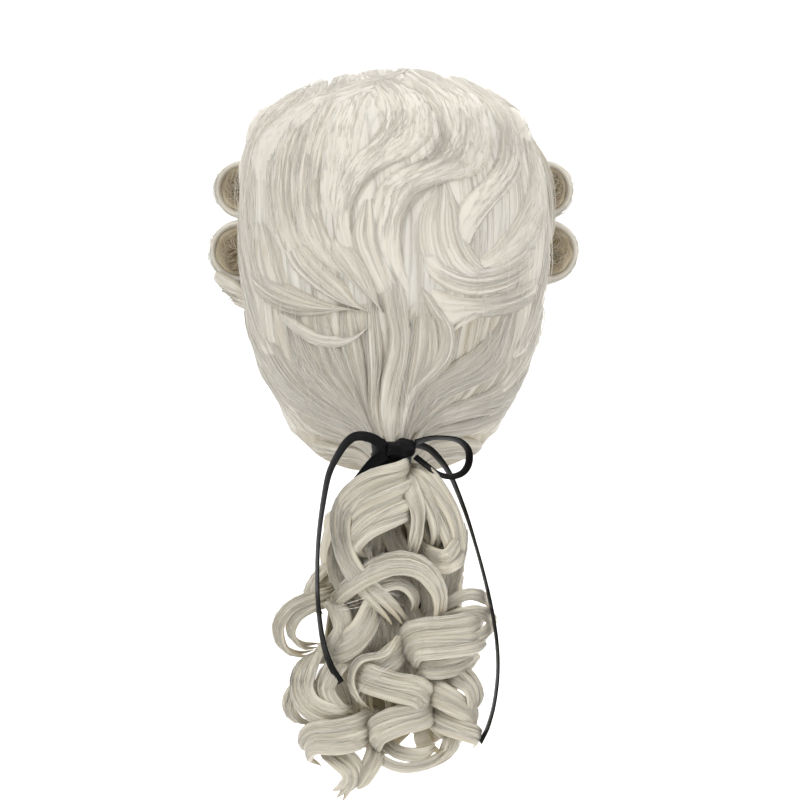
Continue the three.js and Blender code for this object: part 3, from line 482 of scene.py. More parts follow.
# %% [markdown]
# ## The head of hair as one round form
# Locks need something to lie on. The hair's outside is a stack of oval sections, whose half
# width, back and front change with height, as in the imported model. Any point near the head
# is brought on to it along a line from the middle of the head, so a lock can be drawn
# roughly in space, even over the crown, where turns round the axis would run together.

# %% Sections of hair and head
HAIR_WIDTH, HAIR_RISE, HAIR_DROP, HAIR_BACK, HAIR_FRONT = 206.0, 25.0, 236.0, 117.0, 109.0
HEIGHT = HAIR_RISE + HAIR_DROP
HAIR_LEVELS = [  # down, half width, back, front
    (0.0, 0.0, 0.0, 0.0), (0.008, 0.22, 0.24, 0.24), (0.035, 0.5, 0.52, 0.52),
    (0.088, 0.77, 0.75, 0.76), (0.14, 0.88, 0.86, 0.88), (0.205, 0.945, 0.94, 0.96),
    (0.29, 0.99, 0.985, 1.0), (0.38, 1.0, 1.0, 1.0), (0.48, 0.985, 0.99, 0.97),
    (0.57, 0.955, 0.965, 0.95), (0.65, 0.93, 0.935, 0.95), (0.72, 0.885, 0.9, 0.95),
    (0.79, 0.81, 0.86, 0.95), (0.86, 0.735, 0.815, 0.95), (0.93, 0.67, 0.77, 0.95),
    (1.0, 0.62, 0.725, 0.95),
]
HEAD_LEVELS = [
    (0.0, 0.0, 0.0, 0.0), (0.018, 0.36, 0.35, 0.35), (0.07, 0.66, 0.65, 0.64), (0.15, 0.86, 0.86, 0.84),
    (0.26, 0.965, 0.965, 0.95), (0.38, 1.0, 1.0, 1.0), (0.5, 0.985, 0.98, 1.0), (0.62, 0.93, 0.92, 1.0),
    (0.74, 0.83, 0.85, 1.0), (0.87, 0.74, 0.795, 1.0), (1.0, 0.7, 0.765, 1.0), (1.12, 0.69, 0.75, 1.0),
]
HAIRLINE = [  # turn from the back, how far down the edge is
    (0, 0.992), (22, 1.0), (40, 0.985), (52, 0.955), (64, 0.915), (78, 0.855), (92, 0.775), (106, 0.685),
    (118, 0.59), (129, 0.48), (140, 0.385), (152, 0.335), (166, 0.31), (180, 0.305),
]
hair_table = through(HAIR_LEVELS, 900)
head_table = through(HEAD_LEVELS, 500)
hairline_table = through(HAIRLINE, 300)
hair_rows = np.linspace(0, 1, 900)


def hair_section(z):
    """Half width, back and front of the hair at a height, in millimetres."""
    down = (HAIR_RISE - z) / HEIGHT
    half, back, front = (np.interp(down, hair_table[:, 0], hair_table[:, k]) for k in (1, 2, 3))
    return (
        np.maximum(half * HAIR_WIDTH / 2, 0.4),
        np.maximum(back * HAIR_BACK, 0.4),
        np.maximum(front * HAIR_FRONT, 0.4),
    )


def head_point(turn, z, wall):
    """A point of the head's oval at a turn in degrees and a height, grown by a wall."""
    down = np.clip(-z / HAIR_DROP, 0.001, 1.12)
    half, back, front = (np.interp(down, head_table[:, 0], head_table[:, k]) for k in (1, 2, 3))
    a = np.radians(turn)
    depth = np.where(np.cos(a) > 0, back, front) * HEAD_LENGTH / 2 + wall
    return np.stack([(half * HEAD_BREADTH / 2 + wall) * np.sin(a), -depth * np.cos(a), z], axis=-1)


def gathered(turn, z):
    """How far the hair swells out behind the nape to meet the tie."""
    down = (HAIR_RISE - z) / HEIGHT
    near = 1 - smooth(np.abs(turn), 0, 24)
    reach = np.maximum(0, -TIE[1] + NECK_RADIUS * 0.7 - hair_section(z)[1])
    return near * reach * smooth(down, 0.7, 0.88)


def outness(p):
    """How far out a point is, as a share of the oval's section at its height, and its turn."""
    x, y, z = p[..., 0], p[..., 1], p[..., 2]
    half, back, front = hair_section(z)
    turn = np.degrees(np.arctan2(x / half, -y / np.where(y < 0, back, front)))
    swell = gathered(turn, z)
    depth = np.where(y < 0, back, front) + swell
    return np.hypot(x / (half + swell), y / depth), turn


def close_to_head(turn, z):
    """Where the hair lies flat: beside the rolls, and how far along it is to the hairline."""
    turned = np.abs(turn)
    rolls_top, rolls_bottom = 35.5, 108.5
    beside = smooth(turned, 80, 92) * (1 - smooth(turned, 128, 156))
    beside = beside * smooth(-z, rolls_top - 30, rolls_top + 10)
    beside = beside * (1 - smooth(-z, rolls_bottom - 14, rolls_bottom + 30))
    row = np.interp((HAIR_RISE - z) / HEIGHT, hair_table[:, 0], hair_rows)
    edge_down = np.interp(turned, hairline_table[:, 0], hairline_table[:, 1])
    edge_row = np.interp(edge_down, hair_table[:, 0], hair_rows)
    edge = smooth(row / edge_row, 0.84, 1) * smooth(turned, 60, 110)
    low = z < -0.02 * HAIR_DROP
    return beside * low, edge * low


print("widest section", round(float(hair_section(-75.0)[0] * 2)), "mm")

# %% Bring points on to the hair
MIDDLE = np.array([0.0, 0.0, -95.0])
FARTHEST = 260.0
BESIDE_WALL, EDGE_WALL = 8.0, 5.0
DOT_AT_AXIS = 0.65
EYE_X, EYE_AWAY, EYE_Z = 3.9, 3000, -191


def on_hair(points, lift=0.0):
    """Each point moved along the line from the head's middle until it is just on the oval
    form, by halving the distance 24 times, then raised by lift along the form's normal."""
    p = np.asarray(points, float)
    ray = unit(p - MIDDLE)
    rising = np.maximum(ray[..., 2], 1e-6)
    to_top = np.minimum(FARTHEST, (HAIR_RISE - 0.02 - MIDDLE[2]) / rising)
    far = np.where(ray[..., 2] > 1e-6, to_top, FARTHEST)
    near = np.zeros_like(far)
    for _ in range(24):
        half_way = (near + far) / 2
        outside = outness(MIDDLE + ray * half_way[..., None])[0] > 1
        far = np.where(outside, half_way, far)
        near = np.where(outside, near, half_way)
    p = MIDDLE + ray * near[..., None]
    step = 0.7
    slope = []
    for axis in range(3):
        move = np.zeros(3)
        move[axis] = step
        slope.append(outness(p + move)[0] ** 2 - outness(p - move)[0] ** 2)
    normal = unit(np.stack(slope, axis=-1))
    turn = outness(p)[1]
    z = p[..., 2]
    beside, edge = close_to_head(turn, z)
    p = p + (head_point(turn, z, BESIDE_WALL) - p) * beside[..., None]
    p = p + (head_point(turn, z, EDGE_WALL) - p) * edge[..., None]
    return leaning(p + normal * np.asarray(lift, float)[..., None])


def leaning(p):
    """The dressed hair stands 3.4 mm over to the left just below the crown, and comes back
    above and below by a bell curve of the height. Low at the nape it swells 4.2 mm to either
    side, less towards the middle by the square of the distance."""
    over = 3.4 * np.exp(-(((p[..., 2] + 18) / 28) ** 2))
    aside = np.sign(p[..., 0]) * np.clip(np.abs(p[..., 0]) / 62, 0, 1) ** 2
    swell = 4.2 * smooth(-p[..., 2], 150, 195) * aside
    return p + (swell - over)[..., None] * np.array([1.0, 0.0, 0.0])


def seen(across, down):
    """A place measured on the photograph, in its dots from the middle and from the top of the
    hair, as a point on the back of the hair. A dot is 0.65 mm there, less when nearer."""
    x, z = DOT_AT_AXIS * across, 24.8 - DOT_AT_AXIS * down
    for _ in range(4):
        half, back = hair_section(min(z, 24.5))[:2]
        x_on = float(np.clip(x, -0.998 * half, 0.998 * half))
        y = -float(back) * math.sqrt(1 - (x_on / float(half)) ** 2)
        near = 1 + y / EYE_AWAY
        x = EYE_X * (1 - near) + DOT_AT_AXIS * near * across
        z = EYE_Z + (332 - down) * DOT_AT_AXIS * near
    return np.array([x_on, y, min(z, 24.5)])


def on_hairline(turn):
    """The point of the hair's edge at a turn from the back."""
    down = float(np.interp(abs(turn), hairline_table[:, 0], hairline_table[:, 1]))
    return head_point(turn, HAIR_RISE - down * HEIGHT, EDGE_WALL)


print("nape on the photograph:", seen(0, 360).round(1))

# %% [markdown]
# ## The hair's finish
# Each lock is hundreds of fine white fibres with a trace of powder, cream in the light and
# olive brown where little light gets between them. A particle system could grow them, but
# the shape would not come with the exported model. Here the fine fibres are noise drawn out
# along each lock's own map, the clumps are ridges in the mesh, and the single hairs that
# catch the light are thin tubes. A value kept on the points, shade, paints that olive brown
# shade into the colour of the valleys and of other places that light hardly reaches.

# %% Mix the white hair
def hair_finish(name, light, dull, deep, bump_depth, seed):
    """Streaks 1.4 mm and 0.4 mm wide mix two tones, and shade mixes in the deep one, a painted
    shadow colour. The shine is drawn out across the fibres."""
    finish, shader = finish_named(
        name, light, 0.5, 0.22, Anisotropic=0.55, Sheen_Weight=0.12, Sheen_Roughness=0.6,
        Subsurface_Weight=0.2, Subsurface_Radius=(1.0, 0.85, 0.6), Subsurface_Scale=0.003,
    )
    tangent = add_node(finish, "ShaderNodeTangent", direction_type="UV_MAP", uv_map="flow")
    broad = flow_pattern(finish, 0.7, 0.011, 3.0, seed)
    fine = flow_pattern(finish, 2.4, 0.02, 2.0, seed + 7.3)
    both = add_node(finish, "ShaderNodeMix", data_type="FLOAT")
    both.inputs[0].default_value = 0.45
    contrast = add_node(finish, "ShaderNodeMapRange", From_Min=0.32, From_Max=0.68)
    white = add_node(finish, "ShaderNodeMix", data_type="RGBA")
    white.inputs[6].default_value = (*dull, 1.0)
    white.inputs[7].default_value = (*light, 1.0)
    # Painted shade: the shade value on the points mixes the deep colour into the hair's own.
    shade = add_node(finish, "ShaderNodeAttribute", attribute_name="shade")
    deeper = add_node(finish, "ShaderNodeMix", data_type="RGBA")
    deeper.inputs[7].default_value = (*deep, 1.0)
    bump = add_node(finish, "ShaderNodeBump", Strength=0.75, Distance=bump_depth)
    join(
        finish,
        (tangent.outputs["Tangent"], shader.inputs["Tangent"]),
        (broad, both.inputs[2]),
        (fine, both.inputs[3]),
        (both.outputs[0], contrast.inputs["Value"]),
        (contrast.outputs["Result"], white.inputs[0]),
        (white.outputs[2], deeper.inputs[6]),
        (shade.outputs["Fac"], deeper.inputs[0]),
        (deeper.outputs[2], shader.inputs["Base Color"]),
        (both.outputs[0], bump.inputs["Height"]),
        (bump.outputs["Normal"], shader.inputs["Normal"]),
    )
    return finish


# Painted shadow colours, mixed in by shade: olive for the hair and the queue, brown for the rolls' hollows.
SHADOW_COLOUR, QUEUE_SHADOW_COLOUR, HOLLOW_SHADOW_COLOUR = (0.24, 0.178, 0.08), (0.25, 0.185, 0.065), (0.17, 0.11, 0.035)
white_hair, fine_hair, queue_hair, fine_queue_hair, hollow_shade_hair = (
    hair_finish(*values)
    for values in (
        ("white_hair", (0.76, 0.73, 0.66), (0.72, 0.685, 0.605), SHADOW_COLOUR, 0.00022, 0.0),
        ("fine_hair", (0.81, 0.775, 0.7), (0.73, 0.69, 0.605), SHADOW_COLOUR, 0.0001, 3.0),
        ("queue_hair", (0.8, 0.765, 0.68), (0.68, 0.635, 0.535), QUEUE_SHADOW_COLOUR, 0.0003, 2.0),
        ("fine_queue_hair", (0.81, 0.775, 0.69), (0.69, 0.65, 0.55), QUEUE_SHADOW_COLOUR, 0.0001, 4.0),
        # A darker copy of the hair: painted shade for the padding and fuzz in the rolls' hollows.
        ("hollow_shade_hair", (0.68, 0.6, 0.46), (0.5, 0.41, 0.27), HOLLOW_SHADOW_COLOUR, 0.0006, 5.0),
    )
)

# %% [markdown]
# ## The cap and the under hair
# Inside is a net cap on which rows of weft are sewn, and over it lies a thickness of hair
# that the shaped locks cover. They could be one skin. Two are made, because the net is seen
# from below and the hair's root layer shows between the locks.

# %% Close a shell between two sheets
def shell_between(name, outer, inner, finish, flow=None, shade=None):
    """Two grids whose columns go round, with the rows joined at the lower rim and a fan at the
    top of each, as one closed skin."""
    rows, columns = outer.shape[:2]
    sheet = grid_faces(rows, columns, True)
    n = rows * columns
    i = np.arange(columns)
    j = (i + 1) % columns
    last = (rows - 1) * columns
    rim = np.stack([last + j, last + i, n + last + i, n + last + j], axis=1)
    top = np.stack([np.full(columns, 2 * n), i, j], axis=1)
    under = np.stack([np.full(columns, 2 * n + 1), n + j, n + i], axis=1)
    tips = np.array([outer[0].mean(axis=0), inner[0].mean(axis=0)])
    points = np.concatenate([outer.reshape(-1, 3), inner.reshape(-1, 3), tips])
    faces = [sheet[:, ::-1], sheet + n, rim, top[:, ::-1], under[:, ::-1]]
    if flow is not None:
        flow = np.concatenate([flow.reshape(-1, 2)] * 2 + [flow[0].mean(axis=0, keepdims=True)] * 2)
    if shade is not None:
        shade = np.concatenate([shade.ravel(), shade.ravel(), [0.5, 0.5]])
    return make_piece(name, points, faces, finish, flow, shade)


# %% The under hair
def hair_form(turn, share, lift):
    """A point of the hair's outside from its turn and its share of the way from the crown to
    the hairline, with the flat places beside the rolls and at the edge."""
    edge = np.interp(np.abs(turn), hairline_table[:, 0], hairline_table[:, 1])
    edge_row = np.interp(edge, hair_table[:, 0], hair_rows)
    down, half, back, front = (np.interp(share * edge_row, hair_rows, hair_table[:, k]) for k in range(4))
    z = HAIR_RISE - down * HEIGHT
    a = np.radians(turn)
    swell = gathered(turn, z)
    depth = np.where(np.cos(a) > 0, back * HAIR_BACK, front * HAIR_FRONT) + swell + lift
    p = np.stack([(half * HAIR_WIDTH / 2 + swell + lift) * np.sin(a), -depth * np.cos(a), z], axis=-1)
    beside, flat = close_to_head(turn, z)
    p = p + (head_point(turn, z, BESIDE_WALL + lift * 0.4) - p) * beside[..., None]
    p = p + (head_point(turn, z, EDGE_WALL + lift * 0.4) - p) * flat[..., None]
    return leaning(p)


def under_crown(z):
    """The height on the head that lies under a height on the hair: the last 55 mm of hair
    below its top stand over the last 32 mm of the head."""
    return np.where(z > -30, -30 + (z + 30) * 31.5 / 55, z)


turns = np.linspace(-180, 180, 130, endpoint=False)[None, :]
shares = np.linspace(0.03, 1.0, 42)[:, None]
under_ridges = 0.5 * np.abs(np.sin(np.radians(turns) * 24 + 3 * shares))
under_ridges = under_ridges + 0.2 * np.sin(np.radians(turns) * 60)
sunk = -5.4 + 2.2 * smooth(shares, 0.92, 1.0) + 0.8 * under_ridges * smooth(shares, 0.1, 0.4)
outer = on_hair(hair_form(turns, shares, 0.0), sunk)
flow = stacked(np.abs(turns) * 1.7, shares * 260)
inner = head_point(turns + 0 * shares, under_crown(hair_form(turns, shares, 0.0)[..., 2]), 1.5)
# Painted shade: the root layer lies under the locks, so its colour is darkened, and more in its valleys.
shade = 0.38 + 0.25 * (0.75 - under_ridges)
under_hair = shell_between("hair_root_layer", outer, inner, white_hair, flow, shade)
dressed(under_hair, "hair", "hair_shell")


# %% The net cap
def net_finish():
    """Cream net: two waves cross at right angles, and the bump stands where a cord runs."""
    finish, shader = finish_named("cap_net", (0.62, 0.56, 0.45), 0.75, 0.2)
    place = add_node(finish, "ShaderNodeTexCoord")
    upright, level = (
        add_node(finish, "ShaderNodeTexWave", wave_type="BANDS", bands_direction=way, Scale=160.0)
        for way in "XZ"
    )
    meet = add_node(finish, "ShaderNodeMath", operation="MAXIMUM")
    tone = add_node(finish, "ShaderNodeMix", data_type="RGBA")
    tone.inputs[6].default_value = (0.2, 0.16, 0.11, 1)
    tone.inputs[7].default_value = (0.66, 0.6, 0.49, 1)
    bump = add_node(finish, "ShaderNodeBump", Strength=0.6, Distance=0.0003)
    join(
        finish,
        (place.outputs["Object"], upright.inputs["Vector"]),
        (place.outputs["Object"], level.inputs["Vector"]),
        (upright.outputs["Fac"], meet.inputs[0]),
        (level.outputs["Fac"], meet.inputs[1]),
        (meet.outputs[0], tone.inputs[0]),
        (tone.outputs[2], shader.inputs["Base Color"]),
        (meet.outputs[0], bump.inputs["Height"]),
        (bump.outputs["Normal"], shader.inputs["Normal"]),
    )
    return finish


cap_turns = np.linspace(-180, 180, 80, endpoint=False)[None, :]
cap_shares = np.linspace(0.02, 0.985, 76)[:, None]
form = hair_form(cap_turns, cap_shares, 0.0)
WEFT_APART = 11.0
rows_of_weft = 0.55 * np.maximum(0, np.sin(form[..., 2] * 2 * np.pi / WEFT_APART)) ** 6
cap_outer = head_point(cap_turns + 0 * cap_shares, under_crown(form[..., 2]), 2.0)
cap_inner = head_point(cap_turns + 0 * cap_shares, under_crown(form[..., 2]), 0.9)
cap_inner = cap_inner - unit(cap_inner - MIDDLE) * rows_of_weft[..., None]
dressed(shell_between("net_cap", cap_outer, cap_inner, net_finish()), "hair")

# %% [markdown]
# ## Locks laid over the head
# Combed hair doesn't fall in single hairs but in locks: broad flat tongues, crowned in the
# middle, grooved where clumps part, each with its edges under its neighbours. One wavy skin
# could show them, but the overlaps make the picture. So each lock is drawn by its two
# edges. A point of it is found by its share along and its place across, brought on to the
# head, and raised by the lock's lift, its crown and its ridges.

# %% The shape of one lock on the head
EDGE_POINTS = 160
ROOT_DEPTH = 7.0


class HeadLock:
    """A lock between a left and a right edge. Its height over the head is its lift, plus a
    crown that follows the cosine of the place across, plus ridges whose number is its clumps.
    It rises out of the hair at its root. Its end is tucked in again, gathered at the tie, cut
    off at the hem, or narrowed to a tip."""

    # tone is how deep the lock's painted shade is. Below 1 it also lowers the ridges.
    def __init__(self, left, right, lift, end, crown=2.6, seed=1, tone=1.0, slow=0.17):
        self.left = evenly(left, EDGE_POINTS)
        self.right = evenly(right, EDGE_POINTS)
        self.lift, self.end, self.crown, self.tone, self.slow = lift, end, crown, tone, slow
        chance = np.random.default_rng(seed)
        self.phase = chance.uniform(0, 1, 8)
        across = np.linalg.norm(self.right - self.left, axis=1)
        middle = (self.left + self.right) / 2
        self.width = float(across.mean())
        self.length = float(np.linalg.norm(np.diff(middle, axis=0), axis=1).sum())
        self.clumps = max(1.5, self.width / 8.5)

    def ridges(self, t, f):
        """Clumps: rounded backs and sharp valleys, which wander a little along the lock."""
        a, b, c, d, e, g = self.phase[:6] * 2 * np.pi
        wander = 0.5 * np.sin(4.1 * t + a) + 0.2 * np.sin(9.0 * t + b)
        big = grooved(self.clumps * f + wander, c, 0.7)
        mid = grooved(self.clumps * 2.7 * f + 1.6 * wander, d, 0.8)
        fine = grooved(self.clumps * 7.3 * f + 2.5 * wander, e)
        depth = 0.75 + 0.25 * np.sin(6.0 * t + g + 2 * f)
        ridged = (0.8 * (big - 0.72) + 0.5 * (mid - 0.7)) * depth + 0.2 * (fine - 0.64)
        return ridged * min(1.0, 0.3 + 0.7 * self.tone)

    def narrow(self, t):
        """How wide the lock is at each share along it."""
        start = 0.25 + 0.75 * smooth(t, 0.0, self.slow + 0.06)
        if self.end == "tip":
            return start * (1 - smooth(t, 0.62, 1.0)) ** 0.75 + 0.02
        return start

    def place(self, t, f, above=0.0):
        """The point at share t along and place f across, above the lock by so much."""
        t, f = paired(t, f)
        spot = np.linspace(0, 1, EDGE_POINTS)
        left, right = (
            np.stack([np.interp(t, spot, edge[:, k]) for k in range(3)], axis=-1)
            for edge in (self.left, self.right)
        )
        bend = 0.04 * np.sin(7 * t + self.phase[6] * 6)
        if self.end == "tip":
            bend = bend + 0.12 * smooth(t, 0.5, 1.0) * (self.phase[7] - 0.5)
        share = 0.5 + 0.5 * f * self.narrow(t) + bend * self.narrow(t)
        p = left + (right - left) * share[..., None]
        rise = smooth(t, 0.0, self.slow)
        fall = smooth(t, 0.9, 1.0)
        crowned = np.cos(np.pi / 2 * np.clip(np.abs(f), 0, 1)) ** 0.9
        lift = -ROOT_DEPTH + (self.lift + ROOT_DEPTH) * rise
        if self.end == "tuck":
            lift = lift - (self.lift + 6.5) * fall
        if self.end == "tie":
            lift = lift + (-2.5 - self.lift) * smooth(t, 0.72, 1.0)
        fullness = rise * (1 - fall * (self.end == "tip") * 0.75) * (1 - 0.6 * smooth(p[..., 2], 4, 20))
        flatten = 1 - 0.55 * smooth(t, 0.7, 1.0) * (self.end == "tie")
        edge = 1.3 * smooth(np.abs(f), 0.72, 1.0)
        relief = self.crown * (crowned - 0.5) + self.ridges(t, f) * crowned**0.5
        height = lift - edge + fullness * flatten * relief
        return on_hair(p, height + above)


def lock_mesh(lock, rows, columns):
    """The lock as a closed body: its top, and an underside that lies up to 5.1 mm deeper."""
    t = np.linspace(0, 1, rows)[:, None]
    f = np.sin(np.linspace(-1, 1, columns) * np.pi / 2 * 0.92)[None, :]
    f = f / np.abs(f).max()
    g = f[:, :: -(columns // 7)][:, :-1] * 0.9
    sink = 4.5 * (0.35 + 0.65 * (1 - np.abs(g)))
    ring = np.concatenate([lock.place(t, f), lock.place(t, g, -sink - 0.6)], axis=1)
    # Painted shade: the top is darkened by the tone, more in the valleys between clumps and at the edges
    # that lie under the neighbours. The underside and the ends get a fixed painted shade.
    deep = lock.tone
    shade_top = np.clip(0.03 + 0.22 * deep - 0.42 * deep * lock.ridges(t, f), 0, 0.85)
    shade_top = shade_top + 0.28 * deep * smooth(np.abs(f), 0.8, 1.0)
    shade = np.concatenate([shade_top, np.full((rows, g.shape[1]), 0.6)], axis=1)
    flow = stacked(np.concatenate([f, g], axis=1) * lock.width / 2, t * lock.length)
    points, faces, flow = closed_stack(ring, flow + lock.phase[:2] * 400)
    return points, faces, flow, np.concatenate([shade.ravel(), [0.6, 0.5]])


sample = HeadLock([(0, -90, z) for z in (0, -30, -60)], [(30, -85, z) for z in (0, -30, -60)], 1.0, "tuck")
print("a lock 30 mm wide has", round(sample.clumps, 1), "clumps")

# %% Single hairs
def hair_tubes(paths, thick, chance, whisper=0.25):
    """Three-sided tubes along many paths at once, an array of hairs by places by xyz. The
    radius falls to a tenth at both ends, and each tube is closed by a triangle there."""
    count, steps = paths.shape[:2]
    t = np.linspace(0, 1, steps)
    ahead = unit(np.gradient(paths, axis=1))
    out = unit(paths - MIDDLE)
    side = unit(np.cross(ahead, out))
    up = np.cross(side, ahead)
    taper = 0.1 + 0.9 * np.clip(4 * np.sin(np.pi * t), 0, 1)
    radius = (thick * chance.uniform(0.75, 1.2, (count, 1)) * taper[None, :])[..., None, None]
    turn = (np.arange(3) * 2 * np.pi / 3)[None, None, :, None]
    ring = (
        paths[:, :, None, :]
        + radius * np.cos(turn) * up[:, :, None, :]
        + radius * np.sin(turn) * side[:, :, None, :]
    )
    quads = grid_faces(steps, 3, True)
    each = steps * 3
    shift = (np.arange(count) * each)[:, None, None]
    tubes = (quads[None] + shift).reshape(-1, 4)
    caps = np.array([[2, 1, 0], [each - 3, each - 2, each - 1]])
    caps = (caps[None] + shift).reshape(-1, 3)
    across = chance.uniform(0, 900, (count, 1, 1)) + 0.1 * np.arange(3)[None, None, :]
    flow = stacked(across, walked_along(paths)[:, :, None])
    tone = np.broadcast_to(whisper * chance.beta(1.2, 3.0, (count, 1, 1)), (count, steps, 3))
    return ring.reshape(-1, 3), [tubes, caps], flow.reshape(-1, 2), tone.ravel()


def strands_on(lock, count, chance, thick=0.2, steps=11, lively=1.0):
    """Single hairs on a lock. Each keeps its place across, apart from a slow wander. It lies
    a little over the lock in its middle, and sinks into it at both ends."""
    each = (count, 1)
    s = np.linspace(0, 1, steps)[None, :]
    f = chance.uniform(-0.97, 0.97, each)
    begin = chance.uniform(0.0, 0.34, each)
    stop = np.minimum(begin + chance.uniform(0.42, 0.9, each), chance.uniform(0.93, 1.0, each))
    t = begin + (stop - begin) * s
    wave = t * chance.uniform(0.5, 1.4, each) + chance.uniform(0, 1, each)
    wander = 0.03 * lively * np.sin(2 * np.pi * wave)
    stray = chance.exponential(0.5, each) * lively
    arch = np.sin(np.pi * s)
    lifted = 0.26 + stray * arch**1.5
    lifted = lifted - 1.1 * (1 - np.clip(6 * arch, 0, 1))
    paths = lock.place(t, np.clip(f + wander, -1.06, 1.06), lifted)
    # Hairs are darkened at random, by more on a lock with deeper painted shade.
    return hair_tubes(paths, thick, chance, 0.06 + 0.2 * lock.tone)


print("each single hair has", 2 * 3 * 11 + 2, "triangles")

# %% [markdown]
# ## Where each lock lies
# The locks were read off the photograph one by one. A place is given as it is measured
# there: dots to the right of the middle, and dots down from the top. A lock that comes over
# the crown is led back to the hairline on the forehead, since it is one long comb of hair.
# A grid of equal locks would be quicker, but the crossing waves are this wig's character.

# %% Lead a lock from the forehead
def from_forehead(edge, row):
    """Places in front of an edge's first place: on the hairline, above the forehead, and on
    the crown, each nearer to the middle than the one behind it. Row moves the hairline."""
    x = edge[0][0]
    turn = 180 - math.degrees(math.asin(max(-0.96, min(0.96, x * row / 79))))
    start = on_hairline(turn if turn <= 180 else turn - 360)
    return [start, (x * 0.9 * row, 66, 6), (x * 0.97, 18, 21 - 0.0022 * x * x), *edge]


def edge_places(places, lead=0.0):
    """An edge with each measured place put on the hair, and led from the forehead if asked."""
    edge = [seen(*p) if len(p) == 2 else np.array(p, float) for p in places]
    if lead:
        edge = from_forehead(edge, lead)
    return np.array([np.asarray(p, float) for p in edge])


